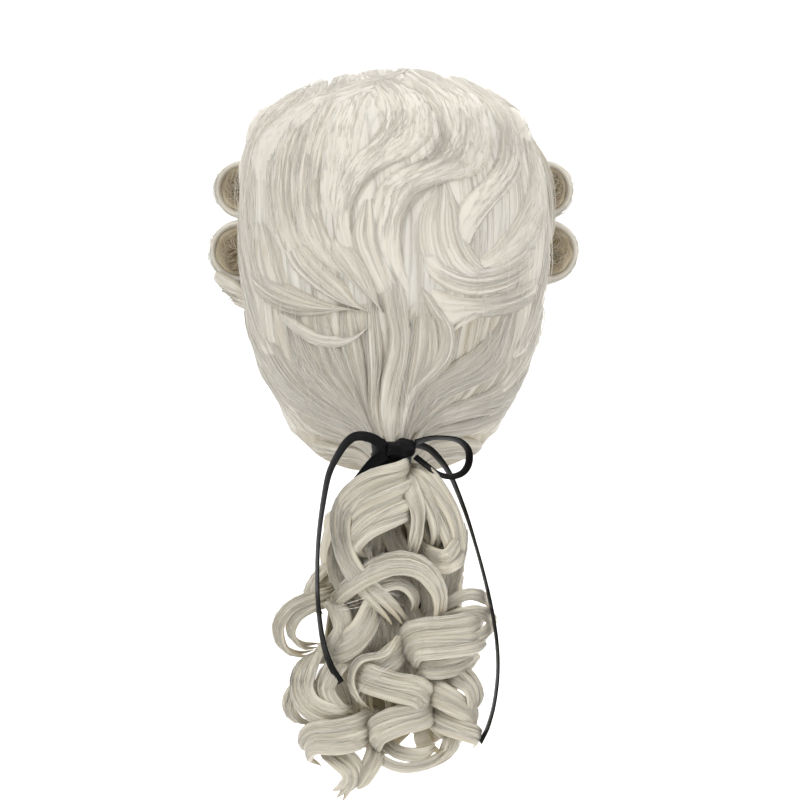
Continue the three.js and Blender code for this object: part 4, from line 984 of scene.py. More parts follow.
BACK_LOCKS = [  # name, lift, forehead lead, end, left edge, right edge
    ("left_edge", 0.5, 0.92, "tuck",
     [(-92, 18), (-137, 52), (-156, 92), (-161, 142), (-157, 192), (-142, 238)],
     [(-84, 26), (-119, 62), (-135, 97), (-142, 142), (-130, 182), (-112, 222)]),
    ("left_fall", 1.6, 0.92, "tuck",
     [(-86, 20), (-115, 62), (-131, 102), (-131, 142), (-122, 177), (-100, 217)],
     [(-66, 24), (-93, 70), (-104, 107), (-104, 142), (-92, 177), (-64, 214)]),
    ("left_inner", 2.2, 0.92, "tuck",
     [(-66, 16), (-92, 72), (-104, 112), (-100, 160), (-78, 197), (-52, 219)],
     [(-38, 18), (-62, 68), (-74, 107), (-74, 147), (-60, 177), (-20, 217)]),
    ("crown_fill", 0.5, 0.92, "tuck",
     [(-44, 10), (-66, 50), (-76, 90), (-80, 130), (-66, 170)],
     [(-6, 8), (-20, 40), (-30, 80), (-50, 120), (-50, 168)]),
    ("crown_middle", 3.0, 0.9, "tuck",
     [(-36, 8), (-20, 30), (-10, 47), (-14, 64), (-36, 82), (-52, 102), (-62, 132), (-62, 172),
      (-46, 207)],
     [(6, 8), (32, 22), (44, 44), (41, 68), (16, 88), (-10, 99), (-33, 117), (-44, 142), (-42, 172),
      (-26, 207)]),
    ("crown_left", 3.2, 0.85, "tuck",
     [(0, 4), (-44, 12), (-92, 32), (-128, 62), (-146, 95), (-152, 130)],
     [(14, 6), (-26, 24), (-66, 42), (-99, 68), (-118, 100), (-124, 132)]),
    ("right_wave", 4.2, 0.9, "tuck",
     [(8, 6), (36, 24), (51, 47), (56, 70), (43, 88), (16, 96), (-8, 109), (-23, 132), (-25, 167),
      (-12, 207), (0, 235)],
     [(50, 8), (88, 24), (107, 52), (108, 82), (87, 106), (52, 114), (22, 128), (8, 157), (8, 194),
      (21, 222), (37, 240)]),
    ("right_shoulder", 3.4, 0.92, "tuck",
     [(56, 8), (98, 32), (116, 62), (110, 92), (90, 114), (68, 136), (56, 165), (60, 200)],
     [(90, 18), (130, 50), (139, 82), (129, 112), (106, 137), (86, 162), (76, 190), (84, 214)]),
    ("right_inner_fan", 2.4, 0.0, "tuck",
     [(44, 106), (30, 135), (26, 170), (34, 204), (56, 220)],
     [(62, 112), (72, 142), (80, 170), (96, 196), (122, 208)]),
    ("right_edge", 1.4, 0.95, "tuck",
     [(92, 18), (134, 58), (140, 100), (130, 135), (110, 168), (82, 193), (48, 202)],
     [(104, 26), (150, 70), (158, 116), (156, 158), (142, 190), (102, 213), (54, 218)]),
    ("right_swag_upper", 3.0, 0.0, "tuck",
     [(152, 146), (136, 174), (108, 192), (76, 197), (48, 188), (28, 170)],
     [(156, 182), (142, 206), (112, 223), (76, 228), (46, 217), (24, 197)]),
    ("right_swag_lower", 2.6, 0.0, "tuck",
     [(156, 186), (138, 212), (108, 226), (76, 230), (48, 224), (30, 210)],
     [(155, 224), (136, 240), (108, 249), (80, 253), (58, 264), (42, 260)]),
    ("right_flick", 1.6, 0.0, "tip",
     [(122, 224), (90, 232), (66, 246), (46, 264)],
     [(124, 242), (94, 252), (76, 264), (60, 276)]),
    ("left_shelf", 3.2, 0.0, "tip",
     [(-152, 212), (-130, 238), (-98, 250), (-64, 251), (-34, 245)],
     [(-140, 194), (-116, 215), (-84, 226), (-58, 232), (-38, 240)]),
    ("left_layer_outer", 2.0, 0.0, "tip",
     [(-156, 160), (-150, 196), (-140, 224), (-122, 246)],
     [(-118, 170), (-112, 200), (-102, 222), (-98, 244)]),
    ("left_layer_middle", 3.0, 0.0, "tip",
     [(-122, 176), (-104, 202), (-78, 226), (-56, 240), (-30, 248)],
     [(-80, 178), (-68, 200), (-48, 220), (-34, 232), (-22, 240)]),
    ("left_layer_inner", 3.6, 0.0, "tip",
     [(-76, 180), (-54, 206), (-36, 224), (-18, 244)],
     [(-36, 180), (-25, 204), (-14, 225), (-4, 246)]),
    ("s_lock_upper", 3.2, 0.0, "tuck",
     [(-46, 140), (-44, 170), (-30, 204), (-16, 236)],
     [(-6, 140), (-4, 172), (4, 204), (14, 232)]),
    ("s_lock_lower", 4.2, 0.0, "tie",
     [(-30, 180), (-17, 220), (-9, 245), (-5, 270), (-9, 292), (-15, 312), (-16, 335), (-10, 356),
      (-6, 372)],
     [(6, 184), (14, 222), (16, 250), (18, 272), (15, 295), (8, 318), (3, 340), (2, 358), (1, 372)]),
    ("s_lock_right", 3.8, 0.0, "tie",
     [(12, 206), (30, 236), (44, 256), (46, 276), (34, 298), (15, 316), (7, 335), (4, 372)],
     [(38, 222), (55, 244), (65, 264), (63, 290), (46, 311), (26, 327), (14, 347), (9, 372)]),
    ("nape_flick_left", 4.4, 0.0, "tip",
     [(-112, 246), (-88, 262), (-66, 268), (-44, 266), (-24, 250)],
     [(-108, 262), (-84, 278), (-62, 282), (-42, 278), (-24, 266)]),
]
NAPE_LOCKS = [
    ("nape_left_edge", -2.6, 0.0, "tuck",
     [(-158, 228), (-150, 262), (-143, 292), (-112, 341), (-88, 376)],
     [(-132, 232), (-128, 264), (-116, 296), (-92, 334), (-66, 366)]),
    ("nape_left_outer", -1.4, 0.0, "tie",
     [(-154, 236), (-144, 275), (-122, 315), (-90, 346), (-50, 364), (-14, 372)],
     [(-126, 240), (-116, 275), (-98, 305), (-70, 332), (-38, 352), (-10, 370)]),
    ("nape_left_second", -0.6, 0.0, "tie",
     [(-124, 240), (-100, 302), (-62, 342), (-34, 358), (-12, 370)],
     [(-92, 240), (-74, 290), (-44, 330), (-24, 352), (-8, 370)]),
    ("nape_left_third", -0.2, 0.0, "tie",
     [(-98, 242), (-78, 298), (-46, 338), (-24, 358), (-10, 370)],
     [(-62, 242), (-48, 295), (-32, 330), (-18, 354), (-7, 370)]),
    ("nape_left_fourth", 0.0, 0.0, "tie",
     [(-66, 244), (-48, 302), (-33, 332), (-20, 354), (-8, 370)],
     [(-32, 244), (-28, 302), (-24, 335), (-12, 356), (-6, 370)]),
    ("nape_left_inner", 0.6, 0.0, "tie",
     [(-36, 242), (-28, 302), (-25, 338), (-14, 358), (-7, 370)],
     [(-12, 242), (-12, 290), (-16, 330), (-10, 356), (-4, 370)]),
    ("nape_right_inner", -0.4, 0.0, "tie",
     [(4, 244), (10, 290), (6, 330), (4, 356), (0, 370)],
     [(60, 250), (52, 296), (28, 330), (14, 352), (5, 370)]),
    ("nape_hem_left", -0.6, 0.0, "tie",
     [(-110, 338), (-84, 362), (-60, 376), (-36, 380), (-14, 376)],
     [(-98, 318), (-74, 344), (-48, 360), (-26, 366), (-10, 368)]),
    ("nape_hem_left_low", -1.4, 0.0, "tie",
     [(-92, 384), (-66, 393), (-42, 396), (-22, 392), (-8, 384)],
     [(-94, 360), (-66, 376), (-42, 380), (-22, 378), (-8, 374)]),
    ("nape_right_edge", -2.6, 0.0, "tuck",
     [(128, 232), (124, 268), (110, 308), (90, 338), (62, 362)],
     [(158, 226), (150, 262), (142, 294), (116, 340), (88, 376)]),
    ("nape_right_third", -1.2, 0.0, "tie",
     [(134, 318), (98, 344), (60, 356), (30, 364), (8, 370)],
     [(108, 352), (78, 368), (46, 374), (24, 376), (6, 376)]),
    ("nape_right_second", -0.4, 0.0, "tie",
     [(152, 238), (142, 275), (110, 312), (62, 336), (32, 352), (8, 370)],
     [(152, 288), (124, 330), (86, 350), (50, 360), (26, 366), (8, 372)]),
    ("nape_right_upper", 0.6, 0.0, "tie",
     [(104, 244), (90, 274), (60, 298), (30, 316), (13, 340), (3, 370)],
     [(132, 250), (112, 300), (76, 323), (42, 338), (20, 354), (7, 370)]),
    ("nape_hem_right", -0.8, 0.0, "tie",
     [(102, 368), (72, 368), (44, 372), (22, 374), (6, 374)],
     [(92, 384), (62, 394), (40, 398), (20, 394), (4, 384)]),
]
SIDE_LOCKS = [  # drawn on the right, in millimetres in space, and mirrored
    ("temple_top", 1.0, 0.0, "tuck",
     [on_hairline(152), (74, 54, 0), (82, 20, 6), (80, -14, 6), (74, -40, -6)],
     [on_hairline(141), (90, 46, -22), (98, 14, -22), (99, -16, -26), (94, -44, -40)]),
    ("temple_low", 0.4, 0.0, "tuck",
     [on_hairline(144), (88, 50, -18), (97, 18, -16), (99, -12, -22), (95, -40, -36)],
     [on_hairline(132), (86, 58, -58), (94, 36, -40), (98, 0, -42), (98, -26, -66)]),
    ("behind_rolls_upper", 0.2, 0.0, "tuck",
     [(100, 8, -30), (99, 4, -64), (97, 0, -100), (92, -16, -132), (80, -44, -168)],
     [(102, -22, -30), (100, -26, -66), (98, -30, -104), (90, -46, -140), (76, -64, -176)]),
    ("behind_rolls_lower", 0.0, 0.0, "tuck",
     [(88, 34, -104), (88, 20, -122), (86, 2, -140), (80, -28, -166), (64, -60, -196)],
     [(96, 6, -92), (95, -8, -116), (91, -22, -138), (82, -46, -166), (66, -70, -196)]),
    ("under_ear", -0.6, 0.0, "tuck",
     [on_hairline(106), (80, 14, -146), (76, -10, -164), (66, -38, -186), (50, -66, -212)],
     [(88, 34, -110), (88, 14, -130), (84, -8, -150), (74, -36, -176), (58, -64, -202)]),
    ("before_ear", -0.4, 0.0, "tuck",
     [on_hairline(138), (80, 60, -72), (82, 50, -96), (84, 36, -118)],
     [on_hairline(120), (80, 50, -108), (82, 40, -120), (84, 26, -132)]),
]


EMERGING = ("right_inner_fan", "s_lock_upper", "s_lock_lower", "s_lock_right", "nape_right_upper")
# How deep the painted shade of each named lock is, in place of its table's; below 1 it also lowers the
# ridges.
LOCK_SHADE_DEPTHS = {
    "left_edge": 1.1, "left_fall": 1.0, "left_inner": 0.75, "crown_middle": 0.5, "right_wave": 0.5,
    "right_edge": 0.7, "right_swag_upper": 0.6, "right_swag_lower": 0.7, "s_lock_upper": 0.8,
    "s_lock_lower": 0.85, "s_lock_right": 0.9, "left_shelf": 1.1, "left_layer_outer": 0.9,
    "left_layer_middle": 0.8, "left_layer_inner": 0.8, "right_flick": 0.8,
}
LAYER_TOP, LAYER_END, UNDER_LAYER = 224, 262, 42


def led_back(edge):
    """The edge with one more place before its first, as far again as the second is after it."""
    (x, down), (x_next, down_next) = edge[:2]
    return [(2 * x - x_next, 2 * down - down_next), *edge]


def build_locks(rows, tone, lift_more=0.0):
    """HeadLock objects from a table's rows. Locks that end in a tip or that emerge between
    others start one place further back and rise slowly. The nape's locks start further up,
    under the layer above them, and rise more slowly still."""
    made = []
    for name, lift, lead, end, left, right in rows:
        slow = 0.17 if lead else 0.3
        if end == "tip" or name in EMERGING:
            left, right = led_back(left), led_back(right)
            slow = 0.42
        if not lead and len(left[0]) == 2 and LAYER_TOP < left[0][1] < LAYER_END and end == "tie":
            left, right = ([(e[0][0], e[0][1] - UNDER_LAYER), *e] for e in (left, right))
            slow = 0.5
        edges = edge_places(left, lead), edge_places(right, lead)
        height = 0.6 * lift - 3.4 + lift_more
        seed = sum(map(ord, name))
        made.append(HeadLock(*edges, height, end, seed=seed, tone=LOCK_SHADE_DEPTHS.get(name, tone), slow=slow))
    return made


def mirrored(rows):
    """The same rows on the other side, with the edges' sides exchanged."""
    flip = np.array([-1.0, 1.0, 1.0])
    return [
        (name + "_left", lift, lead, end, *([np.array(p, float) * flip for p in e] for e in (right, left)))
        for name, lift, lead, end, left, right in rows
    ]


# The second number is how deep the painted shade of a table's locks is. The nape, which faces down, has the
# most.
back_locks = build_locks(BACK_LOCKS, 0.42)
nape_locks = build_locks(NAPE_LOCKS, 1.4, 1.6)
side_right = build_locks(SIDE_LOCKS, 0.6, 1.4)
side_left = build_locks(mirrored(SIDE_LOCKS), 0.6, 1.4)
print("locks:", len(back_locks) + len(nape_locks) + len(side_right) + len(side_left))


# %% Lay them
def lay(name, locks, rows=52, columns=32):
    """All the locks of one part of the head as one piece."""
    short = rows * 2 // 3
    parts = [lock_mesh(lock, rows if lock.length > 90 else short, columns) for lock in locks]
    return dressed(joined(name, parts, white_hair), "hair")


def root_locks():
    """Plain locks under the shaped ones, each a slice of the turn that overlaps the next. At
    the back they go from the crown to the layer's edge, and from there to the tie. Over the
    top they are combed back from the forehead. In front and at the sides they go from the
    crown to the hairline, and a short row covers the hem beside the nape."""
    made = []

    def add(edges, lift, end, crown, seed, tone):
        """One more lock between a left and a right edge."""
        made.append(HeadLock(*edges, lift, end, crown=crown, seed=seed, tone=tone))

    def slice_of(turn, half_turn, shares):
        """The two edges of a slice of the hair's form, half a slice to either side of a turn."""
        return [hair_form(turn + side * half_turn, shares, 0.0) for side in (-1, 1)]

    # The last number given to each lock is how deep its painted shade is; the falls to the tie have the
    # most.
    for k, turn in enumerate(np.linspace(-88, 88, 15)):
        shares = np.array([0.12, 0.25, 0.4, 0.56, 0.68])
        add(slice_of(turn, 9.5, shares), -4.6, "tuck", 1.3, 300 + k, 0.28)
        edges = []
        for side in (-1, 1):
            at = turn * 0.97 + side * 8.5
            fall = hair_form(at * np.array([1, 0.98, 0.9, 0.72]), np.array([0.4, 0.55, 0.72, 0.85]), 0.0)
            edges.append(np.concatenate([fall, [[TIE[0] + at * 0.09, TIE[1] - 6, -216.0]]]))
        add(edges, -4.9, "tie", 1.5, 340 + k, 1.35)
    for k, across in enumerate(np.linspace(-116, 116, 15)):
        edges = []
        for x in (across - 11, across + 11):
            top = 9 + 0.0026 * x * x
            edges.append(edge_places([(x, top), (1.06 * x, top + 30), (1.1 * x, top + 62)], 0.9))
        add(edges, -3.6, "tuck", 1.2, 420 + k, 0.3)
    for k, turn in enumerate(np.linspace(98, 262, 14)):
        shares = np.array([0.14, 0.35, 0.55, 0.75, 0.9, 1.0])
        at = turn if turn <= 180 else turn - 360
        add(slice_of(at, 9.0 * (1 + 0.2 * shares), shares), -2.6, "hem", 1.6, 380 + k, 0.4)
    for k, turn in enumerate([-100, -88, -76, -64, 64, 76, 88, 100]):
        shares = np.array([0.5, 0.65, 0.8, 0.9, 1.0])
        add(slice_of(turn, 8.0, shares), -3.2, "hem", 1.4, 460 + k, 0.7)
    return made


roots = root_locks()
lay("root_locks", roots, rows=22, columns=13)
lay("crown_and_back_locks", back_locks)
lay("nape_locks", nape_locks)
lay("side_locks_right", side_right, rows=44, columns=26)
lay("side_locks_left", side_left, rows=44, columns=26)


# %% Single hairs over the locks
def hairs_over(name, locks, per_area, seed, **options):
    """Single hairs on every lock, as many as its area asks for."""
    chance = np.random.default_rng(seed)
    counts = [max(8, int(lock.width * lock.length * per_area)) for lock in locks]
    parts = [strands_on(lock, count, chance, **options) for lock, count in zip(locks, counts)]
    return dressed(joined(name, parts, fine_hair), "hair")


hairs_over("hairs_over_roots", roots, 0.0025, 10, thick=0.15)
hairs_over("hairs_over_back", back_locks, 0.0135, 11, thick=0.15, lively=0.6)
hairs_over("hairs_over_nape", nape_locks, 0.021, 12, thick=0.18)
hairs_over("hairs_over_sides", side_right + side_left, 0.014, 13)

# %% [markdown]
# ## Side rolls
# Beside each ear two rolls lie one over the other. A flat lock is wound round a padding of
# teased hair and pinned, so its ends show a pale ring about 4.6 mm thick round a fuzzy hollow
# whose brown shade is painted into its colour. A tube would show no loose edge. Here a sheet
# goes 1.14 times round a spiral: its radius shrinks evenly as the angle grows, and its inner
# edge stops short of the ends.

# %% The rolls' places
ROLLS = [  # name, node, side, how far out, drop, radius
    ("roll_left_upper", "left_upper_roll", -1, 99.0, 53.0, 17.5),
    ("roll_left_lower", "left_lower_roll", -1, 101.0, 93.4, 19.0),
    ("roll_right_upper", "right_upper_roll", 1, 99.0, 53.0, 17.5),
    ("roll_right_lower", "right_lower_roll", 1, 101.0, 93.4, 19.0),
]
ROLL_LENGTH, ROLL_REAR, TOE_IN = 62.0, 4.0, math.radians(13)
HALF_THICK, SHRINK, RECESS, UNEVEN = 2.3, 3.2, 1.5, 0.6


class Roll:
    """A scroll round an axis. Share t runs from the loose outer edge to the inner one, and f
    from the rear end to the front end."""

    def __init__(self, side, out, drop, radius, seed):
        self.radius = radius
        self.start = np.array([side * out, ROLL_REAR, -drop])
        self.axis = np.array([-side * math.sin(TOE_IN), math.cos(TOE_IN), 0.0])
        self.flat = np.array([math.cos(TOE_IN), side * math.sin(TOE_IN), 0.0]) * side
        self.phase = np.random.default_rng(seed).uniform(0, 1, 8)
        self.turns = 1.14
        self.width, self.length = ROLL_LENGTH, 2 * np.pi * radius * self.turns * 0.8
        self.clumps = 8.0

    def ridges(self, t, f):
        """Clumps that run round the roll, sharper in the valleys."""
        a, b, c = self.phase[:3] * 2 * np.pi
        wander = 0.5 * np.sin(9 * t + a) + 0.25 * np.sin(17 * t + b)
        big = grooved(self.clumps * f + wander, c, 0.7)
        fine = grooved(self.clumps * 3.3 * f + 2 * wander, a, 0.8)
        return 0.55 * (big - 0.7) + 0.3 * (fine - 0.68)

    def around(self, along, reach, angle):
        """The place so far along the axis, plus a circle of that reach at that angle."""
        return (
            self.start
            + self.axis * along[..., None]
            + self.flat * (reach * np.cos(angle))[..., None]
            + np.array([0.0, 0.0, 1.0]) * (reach * np.sin(angle))[..., None]
        )

    def spot(self, t, f, reach):
        """The spiral: its radius shrinks evenly from the outer edge to the inner one, and its
        ends are a little uneven."""
        angle = np.radians(200) + 2 * np.pi * self.turns * t
        recess = RECESS * smooth(t, 0.8, 1.0)
        uneven = UNEVEN * np.sin(3 * angle + 5 * self.phase[4]) * np.abs(f) ** 4
        along = ROLL_LENGTH / 2 + f * (ROLL_LENGTH / 2 - recess) + uneven
        return self.around(along, self.radius + 0.4 - SHRINK * t + reach, angle)

    def half(self, t, f):
        """Half the sheet's thickness: thin at both long edges and rounded at the ends."""
        edge = np.minimum(1, np.minimum(0.12 + 9 * t, 0.2 + 9 * (1 - t)))
        return HALF_THICK * edge * np.clip(1 - np.abs(f) ** 26, 0, 1) ** 0.5

    def place(self, t, f, above=0.0):
        t, f = paired(t, f)
        ridged = self.ridges(t, f) * (1 - np.abs(f) ** 6)
        return self.spot(t, f, self.half(t, f) + ridged + above)

    def under(self, t, f):
        t, f = paired(t, f)
        return self.spot(t, f, -self.half(t, f))

    def shade(self, t, f):
        """Painted shade: pale outside, darker in the valleys and towards the inner edge."""
        outer = np.clip(0.12 - 0.25 * self.ridges(t, f), 0, 0.6)
        return outer + (0.2 - outer) * smooth(t, 0.8, 0.98)


# %% Padding in a roll
def padding_body(roll, half_length=28.5, rows=12, columns=40):
    """A plug of teased hair: a short bar whose ends are dished and uneven. Its colour carries
    painted shade, dark brown in the middle and pale at the rim."""
    angle = np.linspace(0, 2 * np.pi, columns, endpoint=False)[None, :]
    shares = np.concatenate([np.linspace(0.1, 1, rows), np.linspace(1, 0.1, rows)])[:, None]
    along = np.concatenate([np.full(rows, -half_length), np.full(rows, half_length)])[:, None]
    dished = along * (1 - 0.07 * (1 - shares**2))
    uneven = 1.3 * np.sin(5 * angle + 9 * shares) * np.sin(3 * angle + 7 * shares + roll.phase[5] * 6)
    dished = dished + np.sign(along) * uneven * shares
    reach = shares * (roll.radius - 2.6)
    points = roll.around(ROLL_LENGTH / 2 + dished, reach, angle)
    flow = stacked(reach * np.cos(angle) * 2, reach * np.sin(angle) * 2)
    points, faces, flow = closed_stack(points, flow, np.zeros((2, 2)))
    # Painted shade of the hollow, deepest in the middle and varied a little round it.
    tone = 0.02 + 0.95 * (1 - shares**2.2) + 0.14 * np.sin(4 * angle + 8 * shares)
    return points, faces, flow, np.concatenate([np.clip(tone, 0, 0.9).ravel(), [0.8, 0.8]])


def sheet_body(lock, rows, columns):
    """A roll or tress as a closed body from its upper and under side, sewn along both edges."""
    t = np.linspace(0, 1, rows)[:, None]
    f = np.sin(np.linspace(-1, 1, columns) * np.pi / 2)[None, :]
    g = f[:, 1:-1][:, ::-1][:, ::2]
    ring = np.concatenate([lock.place(t, f), lock.under(t, g)], axis=1)
    # Painted shade: the underside and the ends are darker than the top.
    shade = np.concatenate([lock.shade(t, f) + 0 * t, np.full((rows, g.shape[1]), 0.5)], axis=1)
    flow = stacked(np.concatenate([f, g], axis=1) * lock.width / 2, t * lock.length)
    points, faces, flow = closed_stack(ring, flow + lock.phase[:2] * 400)
    return points, faces, flow, np.concatenate([shade.ravel(), [0.6, 0.6]])


# %% Wind the four rolls
def hairs_round(roll, count, chance, steps=10):
    """Single hairs that go part of the way round the roll."""
    each = (count, 1)
    s = np.linspace(0, 1, steps)[None, :]
    f = chance.uniform(-0.96, 0.96, each)
    begin = chance.uniform(0.0, 0.24, each)
    t = begin + chance.uniform(0.1, 0.24, each) * s
    f = np.clip(f + 0.05 * np.sin(6 * s + chance.uniform(0, 6, each)), -0.99, 0.99)
    lifted = 0.08 + chance.exponential(0.3, each) * np.sin(np.pi * s)
    return hair_tubes(roll.place(t, f, lifted), 0.2, chance)


def hairs_in_hollow(roll, count, chance, steps=7):
    """Fuzz: short hairs that cross the padding near each end."""
    each = (count, 1)
    s = np.linspace(0, 1, steps)[None, :]
    angle = chance.uniform(0, 2 * np.pi, each) + chance.uniform(0.8, 2.6, each) * s
    reach = (roll.radius - 3.6) * (1 - chance.uniform(0.1, 1.2, each) * np.sin(np.pi * s))
    which_end = np.where(chance.uniform(size=each) < 0.5, 1, -1)
    along = which_end * chance.uniform(26.5, 30, each) + 1.2 * np.sin(7 * s)
    return hair_tubes(roll.around(ROLL_LENGTH / 2 + along, reach, angle), 0.19, chance, 0.35)


def hairs_off_rim(roll, count, chance, steps=7):
    """Short hairs that stand a little off the roll at either end."""
    each = (count, 1)
    s = np.linspace(0, 1, steps)[None, :]
    f = np.where(chance.uniform(size=each) < 0.7, -1, 1) * (0.97 + 0.03 * s)
    t = chance.uniform(0.0, 0.45, each) + chance.uniform(0.03, 0.1, each) * s
    lifted = chance.uniform(0.2, 2.2, each) * np.sin(np.pi * s)
    return hair_tubes(roll.place(t, f, lifted), 0.13, chance)


chance = np.random.default_rng(31)
for k, (name, node, side, out, drop, radius) in enumerate(ROLLS):
    roll = Roll(side, out, drop, radius, 40 + k)
    dressed(joined(name, [sheet_body(roll, 96, 22)], white_hair), "roll_hair", node)
    hairs = [hairs_round(roll, 90, chance), hairs_off_rim(roll, 110, chance)]
    dressed(joined(name + "_hairs", hairs, fine_hair), "roll_hair")
    nest = [padding_body(roll), hairs_in_hollow(roll, 150, chance)]
    dressed(joined(name + "_padding", nest, hollow_shade_hair), "roll_hair")

# %% [markdown]
# ## The queue
# Below the ribbon the hair falls in ringlets: each tress was wound round an upright rod when
# wet, so it crosses the front of the bunch as a bulging band, folds at its side and goes back
# inside. A tress is drawn by a few places it passes: dots on the photograph, and how far out
# it lies, from the core of the bunch at 0.4 to its nearest face at 1. Each is made of finer
# tresses side by side, a little out of step, because that is how a brushed ringlet parts.

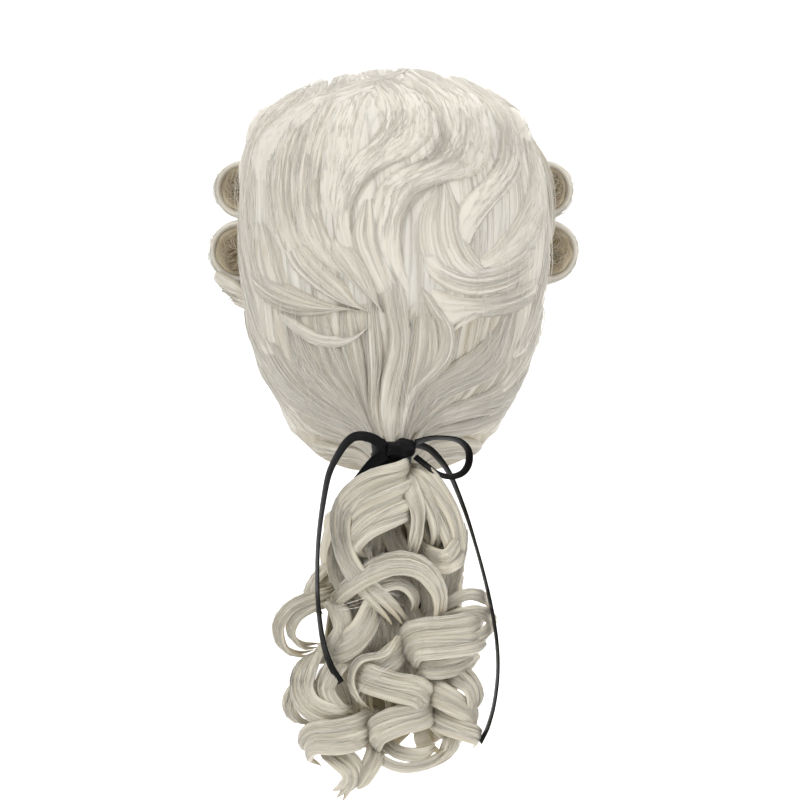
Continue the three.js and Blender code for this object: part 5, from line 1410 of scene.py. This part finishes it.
# %% The tresses' routes
QUEUE_HALF, QUEUE_DEPTH, QUEUE_LENGTH, QUEUE_TOP = 62.5, 60.0, 197.0, -240.0
CORE = 0.42
PHOTO_MIDDLE = 400
DOT_AT_QUEUE = 0.628
TRESSES = [  # name, breadth in dots, thickness in mm, finer tresses, places (right, down, out)
    ("mound_side", 24, 5.0, 3,
     [(397, 471, 0.5), (374, 477, 0.8), (352, 493, 0.9), (341, 515, 0.88), (343, 540, 0.85),
      (352, 566, 0.92), (370, 590, 0.95), (392, 612, 0.92), (409, 634, 0.8)]),
    ("mound_upper", 32, 7.0, 4,
     [(410, 470, 0.5), (398, 478, 0.9), (374, 487, 1.0), (353, 502, 0.97), (344, 520, 0.8),
      (350, 538, 0.5)]),
    ("mound_lower", 36, 7.0, 4,
     [(420, 492, 0.6), (404, 501, 0.98), (384, 512, 1.08), (364, 525, 1.04), (352, 540, 0.85),
      (364, 553, 0.55)]),
    ("middle_strand", 15, 4.5, 2,
     [(404, 471, 0.6), (412, 490, 0.98), (418, 513, 1.03), (415, 540, 0.97), (408, 562, 0.78)]),
    ("right_lock", 27, 5.5, 3,
     [(405, 471, 0.52), (422, 477, 0.75), (438, 496, 0.86), (450, 520, 0.86), (454, 546, 0.8),
      (446, 564, 0.75), (432, 572, 0.66)]),
    ("right_inner_lock", 14, 4.0, 2,
     [(405, 471, 0.5), (419, 486, 0.88), (430, 508, 0.93), (437, 531, 0.9), (433, 553, 0.78)]),
    ("right_turn_under", 24, 5.0, 3,
     [(462, 530, 0.4), (458, 549, 0.8), (446, 561, 0.95), (429, 555, 0.8), (418, 543, 0.6)]),
    ("hook", 22, 6.5, 3,
     [(330, 606, 0.5), (348, 589, 0.86), (370, 573, 1.02), (396, 563, 1.08), (421, 568, 1.08),
      (437, 589, 1.03), (438, 613, 0.97), (424, 634, 0.75)]),
    ("under_hook", 14, 4.5, 2,
     [(352, 596, 0.7), (374, 588, 0.92), (398, 584, 0.94), (414, 598, 0.9), (412, 620, 0.75)]),
    ("left_loop_outer", 12, 4.0, 3,
     [(334, 590, 0.5), (310, 598, 0.72), (290, 608, 0.78), (279, 626, 0.72), (284, 646, 0.62),
      (300, 655, 0.52), (320, 652, 0.4)]),
    ("left_loop_inner", 11, 3.6, 2,
     [(334, 602, 0.5), (314, 606, 0.7), (297, 616, 0.76), (291, 632, 0.7), (302, 645, 0.6),
      (322, 645, 0.45)]),
    ("inner_fold", 26, 5.5, 3,
     [(380, 594, 0.6), (372, 612, 0.92), (360, 634, 1.0), (338, 650, 0.9), (314, 652, 0.55)]),
    ("inner_fold_left", 20, 5.0, 2,
     [(326, 596, 0.5), (340, 612, 0.85), (344, 632, 0.95), (330, 650, 0.88), (312, 660, 0.5)]),
    ("right_arc_upper", 11, 4.0, 2,
     [(430, 612, 0.5), (450, 602, 0.78), (470, 594, 0.78), (487, 600, 0.62), (490, 614, 0.45)]),
    ("right_arc_middle", 11, 4.0, 2,
     [(436, 624, 0.6), (458, 614, 0.84), (478, 611, 0.78), (493, 622, 0.6), (488, 638, 0.42)]),
    ("right_arc_lower", 10, 4.0, 2,
     [(452, 650, 0.6), (472, 640, 0.78), (488, 628, 0.7), (494, 612, 0.5)]),
    ("right_barrel", 40, 7.0, 4,
     [(484, 622, 0.3), (470, 634, 0.86), (442, 638, 1.08), (416, 640, 1.02), (407, 652, 0.75),
      (420, 664, 0.52), (446, 666, 0.45)]),
    ("right_barrel_low", 22, 5.0, 2,
     [(478, 652, 0.4), (462, 662, 0.82), (438, 668, 0.96), (420, 668, 0.9), (412, 676, 0.6)]),
    ("thin_edge", 6, 3.0, 2,
     [(398, 636, 1.0), (386, 653, 1.03), (361, 660, 1.0), (351, 677, 1.0), (356, 697, 0.98),
      (373, 713, 0.85)]),
    ("middle_fill", 26, 5.0, 3,
     [(410, 640, 0.7), (396, 654, 0.9), (380, 668, 0.92), (362, 676, 0.85), (350, 690, 0.6)]),
    ("lower_left", 28, 6.0, 3,
     [(330, 648, 0.55), (308, 664, 0.84), (300, 686, 0.92), (310, 706, 0.96), (338, 717, 0.88),
      (358, 712, 0.6)]),
    ("lower_left_inner", 22, 5.0, 2,
     [(350, 654, 0.75), (332, 668, 0.95), (322, 688, 1.0), (332, 708, 0.97), (354, 718, 0.75)]),
    ("left_bump", 17, 5.0, 2,
     [(320, 680, 0.45), (298, 690, 0.7), (290, 705, 0.74), (297, 720, 0.62), (316, 724, 0.45)]),
    ("middle_barrel", 29, 6.0, 3,
     [(346, 664, 0.45), (364, 677, 0.95), (391, 686, 1.08), (418, 692, 1.02), (426, 704, 0.78),
      (408, 714, 0.5)]),
    ("low_barrel", 29, 6.0, 3,
     [(436, 702, 0.45), (422, 714, 0.9), (397, 721, 1.07), (376, 731, 1.0), (373, 744, 0.7),
      (394, 750, 0.45)]),
    ("lower_right", 24, 5.0, 3,
     [(440, 660, 0.4), (456, 672, 0.75), (471, 685, 0.82), (474, 703, 0.75), (462, 717, 0.55)]),
    ("lower_right_inner", 22, 5.0, 2,
     [(424, 684, 0.6), (440, 694, 0.88), (458, 706, 0.88), (474, 718, 0.7), (470, 730, 0.5)]),
    ("low_right_fold", 20, 5.0, 3,
     [(426, 708, 0.5), (440, 722, 0.85), (460, 730, 0.92), (478, 736, 0.76), (474, 746, 0.5)]),
    ("bottom_barrel", 31, 6.5, 3,
     [(382, 716, 0.4), (362, 731, 0.92), (338, 737, 1.02), (315, 738, 0.9), (306, 751, 0.62),
      (322, 762, 0.45)]),
    ("bottom_tail", 24, 6.0, 3,
     [(320, 742, 0.5), (338, 756, 0.82), (352, 769, 0.88), (352, 783, 0.8), (336, 798, 0.6)]),
    ("bottom_tail_right", 18, 5.0, 2,
     [(372, 738, 0.6), (374, 756, 0.82), (366, 774, 0.84), (350, 790, 0.62)]),
    ("bottom_right_arc", 10, 4.0, 2,
     [(366, 744, 0.55), (382, 760, 0.82), (404, 768, 0.88), (429, 763, 0.78), (448, 748, 0.55)]),
    ("bottom_right_inner", 13, 4.5, 2,
     [(378, 736, 0.6), (398, 752, 0.86), (422, 754, 0.84), (442, 742, 0.6)]),
    ("low_right_back", 26, 5.0, 3,
     [(400, 700, 0.4), (430, 714, 0.48), (454, 734, 0.52), (444, 754, 0.48), (416, 764, 0.42)]),
    ("behind_left_arc", 16, 4.5, 2,
     [(330, 560, 0.4), (316, 578, 0.46), (310, 598, 0.5), (322, 616, 0.45)]),
]


def dot_place(p):
    """A place in the bunch from its dots and how far out it lies, in millimetres. Out gives
    the depth, and the nearer a place is to the camera the fewer millimetres a dot is."""
    p = np.asarray(p, float)
    y = TIE[1] + QUEUE_DEPTH * (CORE - p[..., 2])
    near = DOT_AT_AXIS * (EYE_AWAY + y) / EYE_AWAY
    x = EYE_X + (p[..., 0] - PHOTO_MIDDLE) * near
    return np.stack([x, y, EYE_Z + (PHOTO_MIDDLE - p[..., 1]) * near], axis=-1)


def queue_place(p):
    """A place in the bunch from shares of its half width, depth and length."""
    p = np.asarray(p, float)
    x = TIE[0] + p[..., 0] * QUEUE_HALF
    y = TIE[1] + QUEUE_DEPTH * (CORE - p[..., 1])
    return np.stack([x, y, QUEUE_TOP - p[..., 2] * QUEUE_LENGTH], axis=-1)


# %% The shape of a tress
LINE_POINTS = 90


class Tress:
    """A flattened bundle along a line. Its broad side faces away from the middle of the bunch
    where the line lies outside, and away from the middle of its own fold where it turns in.
    Its breadth and thickness fall off at both ends."""

    def __init__(self, line, breadth, thick, seed, at, share, out_by, cut,
                 facing=None, own=0.55, tone=0.0, twist=0.3):
        self.phase = np.random.default_rng(seed).uniform(0, 1, 8)
        line = evenly(line, LINE_POINTS)
        fold = line - line.mean(axis=0)
        fold[:, 2] *= 0.35
        bunch = (line - [TIE[0], TIE[1] + 8, 0]) * [0.6, 2.5, 0]
        out = unit((1 - own) * unit(bunch) + own * unit(fold))
        if facing is not None:
            out = np.array(facing, float) + 0 * line
        ahead = unit(np.gradient(line, axis=0))
        out = unit(out - ahead * (out * ahead).sum(axis=1, keepdims=True))
        across = unit(np.cross(out, ahead))
        walked = walked_along(line)
        spots = np.linspace(0, walked[-1] * cut, LINE_POINTS)
        line, out, across = (
            np.stack([np.interp(spots, walked, v[:, k]) for k in range(3)], axis=1)
            for v in (line, out, across)
        )
        # tone adds painted shade, for the tresses that lie inside the bunch.
        self.tone = tone
        t = np.linspace(0, 1, LINE_POINTS)[:, None]
        turned = twist * np.sin(2 * np.pi * (t * (0.5 + self.phase[4]) + self.phase[5]))
        self.out = out * np.cos(turned) + across * np.sin(turned)
        self.across = across * np.cos(turned) - out * np.sin(turned)
        swing = 0.05 * np.sin(2 * np.pi * (t * (0.6 + self.phase[6]) + self.phase[7]))
        stand = self.out * out_by * np.sin(np.pi * t) ** 0.5
        self.line = line + self.across * (at + swing) * breadth / 2 + stand
        self.length = float(walked[-1] * cut)
        self.width = breadth * share
        self.breadth, self.thick = breadth * share / 2, thick / 2
        self.clumps = max(1.6, self.width / 4.2)

    def ridges(self, t, f):
        """Grooves between fibres' clumps, which wander along the tress."""
        a, b, c, d = self.phase[:4] * 2 * np.pi
        wander = 0.45 * np.sin(5 * t + a) + 0.2 * np.sin(11 * t + b)
        big = grooved(self.clumps * f + wander, c, 0.75)
        fine = grooved(self.clumps * 3.1 * f + 2 * wander, d, 0.8)
        return 0.5 * (big - 0.7) + 0.3 * (fine - 0.68)

    def at(self, t, values):
        spot = np.linspace(0, 1, len(values))
        return np.stack([np.interp(t, spot, values[:, k]) for k in range(3)], axis=-1)

    def full(self, t):
        """How full the tress is: it narrows to under a half at its start and to a wisp at its tip."""
        return np.minimum(1, np.minimum(0.4 + 3.4 * t, 0.1 + 3.0 * (1 - t) ** 0.8))

    def spot(self, t, f, height):
        drift = 0.1 * np.sin(6 * t + self.phase[5] * 6)
        across = self.at(t, self.across) * ((f + drift) * self.breadth * self.full(t))[..., None]
        return self.at(t, self.line) + across + self.at(t, self.out) * height[..., None]

    def lens(self, t, f):
        return np.clip(1 - np.abs(f) ** 2.2, 0, 1) ** 0.5 * self.thick * self.full(t)

    def place(self, t, f, above=0.0):
        t, f = paired(t, f)
        ridged = self.ridges(t, f) * (1 - f**4) * self.full(t)
        return self.spot(t, f, self.lens(t, f) + ridged + above)

    def under(self, t, f):
        t, f = paired(t, f)
        ridged = 0.5 * self.ridges(t, -f) * (1 - f**4) * self.full(t)
        return self.spot(t, f, -self.lens(t, f) - ridged)

    def shade(self, t, f):
        # Painted shade: a base that the tone deepens, darker valleys, and darker towards both ends.
        ends = 0.3 * smooth(t, 0.82, 1.0) + 0.2 * (1 - smooth(t, 0.0, 0.15))
        return np.clip(0.3 + self.tone - 0.55 * self.ridges(t, f), 0, 0.8) + ends


# %% Part each ringlet
def ringlet(name, wide, thick, count, line, **options):
    """Finer tresses that share a route: each takes its place across, stands in or out by a
    little, and stops at its own length."""
    seed = sum(map(ord, name))
    chance = np.random.default_rng(seed)
    middles = np.linspace(-1, 1, count) * (1 - 1.1 / count)
    return [
        Tress(line, wide, thick * chance.uniform(0.7, 0.95), seed + k, at=at, share=1.35 / count,
              out_by=chance.uniform(-1.6, 1.0), cut=chance.uniform(0.88, 1.0), **options)
        for k, at in enumerate(middles)
    ]


def hidden_ringlets():
    """The far side of the bunch, which the photograph doesn't show: upright coils of one and a
    half turns, five rows of three, narrower towards the bottom, and two waving tresses down
    either side."""
    made = []
    chance = np.random.default_rng(77)
    for row in range(5):
        for k, angle in enumerate((-62, 0, 62)):
            down = 0.1 + 0.15 * row
            wide = 0.62 - 0.05 * row
            a = math.radians(angle + chance.uniform(-12, 12))
            middle = queue_place((wide * math.sin(a), 0.3 - 0.17 * math.cos(a), down))
            turn = np.linspace(0, 3 * np.pi, 12)
            coil = np.stack([11 * np.sin(turn + row), 8 * np.cos(turn + row), -3.4 * turn], axis=1)
            made += ringlet(f"hidden_{row}_{k}", 20, 4.5, 2, middle + coil, own=1.0)
    down = np.linspace(0.02, 0.86, 9)
    for k, (side, out) in enumerate(((-0.55, 0.42), (-0.6, 0.2), (0.55, 0.42), (0.6, 0.2))):
        full = smooth(down, 0.0, 0.2)
        wave = np.sin(11 * down + 1.7 * k)
        across = side * (0.25 + 0.75 * full) * (0.9 + 0.16 * wave)
        places = np.stack([across, out * full + CORE * (1 - full), down], axis=1)
        made += ringlet(f"hidden_side_{k}", 24, 5.0, 2, queue_place(places), own=0.1)
    return made


def inner_falls():
    """Waving tresses inside the bunch, nine side by side, seen only between the others. Their
    tone adds painted shade.
    """
    made = []
    down = np.array([474.0, 500, 530, 565, 600, 635, 670, 705, 738])
    for k, middle in enumerate(np.linspace(344, 452, 9)):
        wave = down / 15.5 + 2.1 * k
        across = middle + (PHOTO_MIDDLE - middle) * (1 - smooth(down, 465, 520)) + 8 * np.sin(wave)
        out = 0.5 + 0.17 * smooth(down, 470, 505) + 0.06 * np.cos(wave) - 0.12 * smooth(down, 690, 740)
        line = dot_place(np.stack([across, down, out], axis=1))
        made += ringlet(f"inner_{k}", 12, 4.5, 2, line, own=0.1, tone=0.16)
    return made


tresses = []
for name, wide, thick, count, places in TRESSES:
    tresses += ringlet(name, wide * DOT_AT_QUEUE, thick, count, dot_place(places))
tresses += inner_falls()
under_roll = [(-92.7, -14, -126.7), (-103, 0, -121), (-108, 14, -118), (-101, 36, -118)]
over_roll = [(88, -18, -22), (97, -15, -40), (101, -12, -60), (101, -12, -80), (93, -14, -106)]
by_the_rolls = ringlet("lock_under_roll", 25, 9, 3, under_roll, facing=(-0.75, 0, -0.66), twist=0.0)
by_the_rolls += ringlet("lock_over_roll", 8, 3.5, 2, over_roll, facing=(0.8, -0.6, 0), twist=0.0)
print("tresses in the queue:", len(tresses))


# %% The bunch that they grow from
def bunch_body():
    """The dense middle of the queue: oval sections from the neck down."""
    levels = np.array([  # down, side, half, back, depth
        (-0.11, 0.0, 0.145, 0.42, 0.15), (0.0, 0.0, 0.14, 0.42, 0.13), (0.06, 0.02, 0.22, 0.42, 0.15),
        (0.18, 0.04, 0.36, 0.4, 0.17), (0.4, -0.02, 0.42, 0.38, 0.19), (0.6, -0.08, 0.46, 0.38, 0.19),
        (0.76, -0.06, 0.36, 0.38, 0.17), (0.86, -0.12, 0.16, 0.4, 0.1),
    ])
    rows, columns = 60, 60
    fine = through(levels, rows)
    turn = np.linspace(0, 2 * np.pi, columns, endpoint=False)[None, :]
    middle = queue_place(np.stack([fine[:, 1], fine[:, 3], fine[:, 0]], axis=1))[:, None, :]
    grooves = 1 + 0.05 * np.sin(14 * turn + 6 * fine[:, :1]) + 0.025 * np.sin(37 * turn)
    points = middle + stacked(
        fine[:, 2:3] * QUEUE_HALF * np.sin(turn) * grooves,
        -fine[:, 4:5] * QUEUE_DEPTH * np.cos(turn) * grooves,
        0.0,
    )
    flow = stacked(np.abs(turn - np.pi) * 25, fine[:, :1] * QUEUE_LENGTH)
    points, faces, flow = closed_stack(points, flow, [flow[0, 0], flow[-1, -1]])
    # Painted shade: the core is darker below its top, where the tresses cover it.
    shade = np.repeat(0.3 + 0.5 * smooth(fine[:, 0], 0.03, 0.2), columns)
    return points, faces, flow, np.concatenate([shade, [0.8, 0.8]])


# %% Hang the queue
front = [sheet_body(tress, int(np.clip(tress.length * 0.48, 22, 48)), 11) for tress in tresses]
behind = [sheet_body(tress, 34, 8) for tress in hidden_ringlets()]
dressed(joined("queue_ringlets", [bunch_body(), *front], queue_hair), "hair", "queue")
dressed(joined("queue_ringlets_behind", behind, queue_hair), "hair")
beside = [sheet_body(tress, 40, 16) for tress in by_the_rolls]
dressed(joined("locks_by_the_rolls", beside, white_hair), "hair")


def strands_along(tress, count, chance, thick=0.19, steps=11):
    """Single hairs on a tress, a few of which part from its end."""
    each = (count, 1)
    s = np.linspace(0, 1, steps)[None, :]
    f = chance.uniform(-0.98, 0.98, each)
    begin = chance.uniform(0.0, 0.3, each)
    t = begin + (chance.uniform(0.7, 1.0, each) - begin) * s
    f = np.clip(f + 0.08 * np.sin(5 * s + chance.uniform(0, 6, each)), -1, 1)
    lifted = 0.12 + chance.exponential(0.55, each) * np.sin(np.pi * s) ** 1.3
    return hair_tubes(tress.place(t, f, lifted), thick, chance, 0.45)


chance = np.random.default_rng(57)
counts = [5 + int(tress.width * tress.length * 0.0165) for tress in tresses]
hairs = [strands_along(tress, count, chance) for tress, count in zip(tresses, counts)]
hairs += [strands_along(tress, 12, chance) for tress in by_the_rolls]
dressed(joined("queue_hairs", hairs, fine_queue_hair), "hair")


# %% Let some hairs fly away
WISPS = [  # how many, how far apart in mm, places as for the tresses
    (5, 2.2,
     [(338, 500, 0.35), (312, 508, 0.3), (296, 528, 0.4), (294, 552, 0.8), (303, 574, 0.8),
      (318, 588, 0.8)]),
    (4, 1.6, [(330, 530, 0.3), (318, 556, 0.25), (306, 590, 0.35), (300, 618, 0.5)]),
    (6, 2.4,
     [(335, 575, 0.3), (305, 590, 0.3), (278, 606, 0.5), (270, 632, 0.65), (288, 656, 0.5),
      (318, 660, 0.4)]),
    (5, 2.0, [(470, 590, 0.7), (490, 588, 0.65), (503, 600, 0.6), (500, 622, 0.5)]),
    (5, 2.5, [(476, 640, 0.7), (496, 650, 0.65), (505, 668, 0.6), (498, 690, 0.6)]),
    (4, 2.0, [(440, 508, 0.95), (424, 520, 1.0), (414, 540, 1.0), (406, 566, 0.9)]),
    (4, 1.5, [(352, 528, 1.0), (368, 546, 1.05), (372, 566, 1.1), (362, 590, 1.1)]),
    (5, 1.8, [(336, 610, 1.05), (358, 604, 1.15), (384, 596, 1.18), (404, 602, 1.15)]),
    (4, 2.0, [(300, 664, 0.8), (288, 684, 0.75), (284, 706, 0.7), (292, 724, 0.6)]),
    (4, 2.2, [(462, 700, 0.8), (482, 712, 0.75), (486, 730, 0.7), (476, 746, 0.6)]),
    (5, 2.4, [(330, 748, 0.8), (340, 770, 0.85), (342, 788, 0.8), (334, 800, 0.7)]),
    (4, 2.0, [(400, 660, 1.1), (384, 668, 1.12), (366, 684, 1.1), (358, 704, 1.05)]),
]


def wisps(chance, steps=14):
    """Hairs that left their tress: each follows its places, drifting away by a slow wave."""
    parts = []
    for count, apart, places in WISPS:
        line = evenly(dot_place(places), steps)[None]
        s = np.linspace(0, 1, steps)[None, :, None]
        drift = chance.normal(0, apart, (count, 1, 3)) * (0.3 + s)
        wave = s * chance.uniform(0.6, 1.3, (count, 1, 1)) + chance.uniform(0, 1, (count, 1, 3))
        wave = apart * 0.5 * np.sin(2 * np.pi * wave)
        parts.append(hair_tubes(line + drift + wave, 0.1, chance, 0.1))
    return parts


def loose_on_head(count, chance, steps=9):
    """Hairs that stand off the head's outline: raised in their middle, down again at the end."""
    each = (count, 1)
    s = np.linspace(0, 1, steps)[None, :]
    turn = chance.uniform(-125, 125, each) + chance.uniform(-7, 7, each) * s
    share = chance.uniform(0.1, 0.8, each) + chance.uniform(0.06, 0.15, each) * s
    stand = chance.uniform(2.5, 5.5, each) * np.sin(np.pi * s ** chance.uniform(0.7, 1.4, each)) ** 0.8 - 2.5
    return hair_tubes(hair_form(turn, share, stand), 0.12, chance, 0.1)


chance = np.random.default_rng(91)
dressed(joined("fly_away_hairs", [*wisps(chance), loose_on_head(420, chance)], fine_hair), "hair")

# %% [markdown]
# ## Backdrop and light
# White hair shows its form only if the light has a side to it, but the shadows between its
# locks stay pale. Large soft panels do that: one high on the left behind the camera, a weaker
# one on the right, one overhead for the crown and one in front for the brow. One more lights
# the wall, which stands well away, and a pale world fills the rest.

# %% Sweep a backdrop
def backdrop():
    """One sheet: a floor, a quarter circle of half a metre, and a wall."""
    bend = np.linspace(0, np.pi / 2, 24)
    y = np.concatenate([[-6.0], 4.2 + 0.5 * np.sin(bend), [4.7]]) * 1000
    z = np.concatenate([[-0.62], -0.62 + 0.5 * (1 - np.cos(bend)), [4.0]]) * 1000
    x = np.linspace(-5000, 5000, 3)
    points = stacked(x[None, :], y[:, None], z[:, None])
    finish, shader = finish_named("pale_paper", (0.86, 0.86, 0.86), 0.9, 0.1)
    grain = add_node(finish, "ShaderNodeTexNoise", Scale=3.0, Detail=2.0)
    tone = add_node(finish, "ShaderNodeMapRange", To_Min=0.9, To_Max=0.93)
    join(
        finish,
        (grain.outputs["Fac"], tone.inputs["Value"]),
        (tone.outputs["Result"], shader.inputs["Base Color"]),
    )
    paper = make_piece("backdrop", points, [grid_faces(len(y), 3, False)], finish)


backdrop()


# %% Hang the lights
def soft_panel(name, place, aim, size, power):
    """A square area light at a place, turned so that it faces its aim."""
    data = bpy.data.lights.new(name, "AREA")
    data.shape = "SQUARE"
    data.size, data.energy = size, power
    panel = bpy.data.objects.new(name, data)
    ahead = np.array(aim, float) - np.array(place, float)
    panel.location = place
    tip_up = math.atan2(math.hypot(ahead[0], ahead[1]), -ahead[2])
    panel.rotation_euler = (tip_up, 0.0, math.atan2(-ahead[0], ahead[1]))
    bpy.context.scene.collection.objects.link(panel)


soft_panel("key_panel", (-1.3, -1.9, 1.3), (0, 0, -0.15), 1.2, 24.0)
soft_panel("fill_panel", (1.6, -1.8, 0.2), (0, 0, -0.2), 1.4, 12.0)
soft_panel("top_panel", (0.1, 0.1, 1.5), (0, 0, 0), 1.2, 8.0)
soft_panel("front_panel", (0.6, 1.1, 0.7), (0, 0, -0.1), 1.0, 8.0)
soft_panel("wall_panel", (0.0, 2.6, 2.6), (0, 4.7, 0.0), 2.6, 120.0)
world = bpy.data.worlds.new("pale_studio")
world.use_nodes = True
sky = world.node_tree.nodes["Background"].inputs
sky["Color"].default_value = (1.0, 1.0, 1.0, 1.0)
sky["Strength"].default_value = 0.72
bpy.context.scene.world = world
bpy.context.scene.view_settings.view_transform = "Standard"
print("five panels and a pale world")
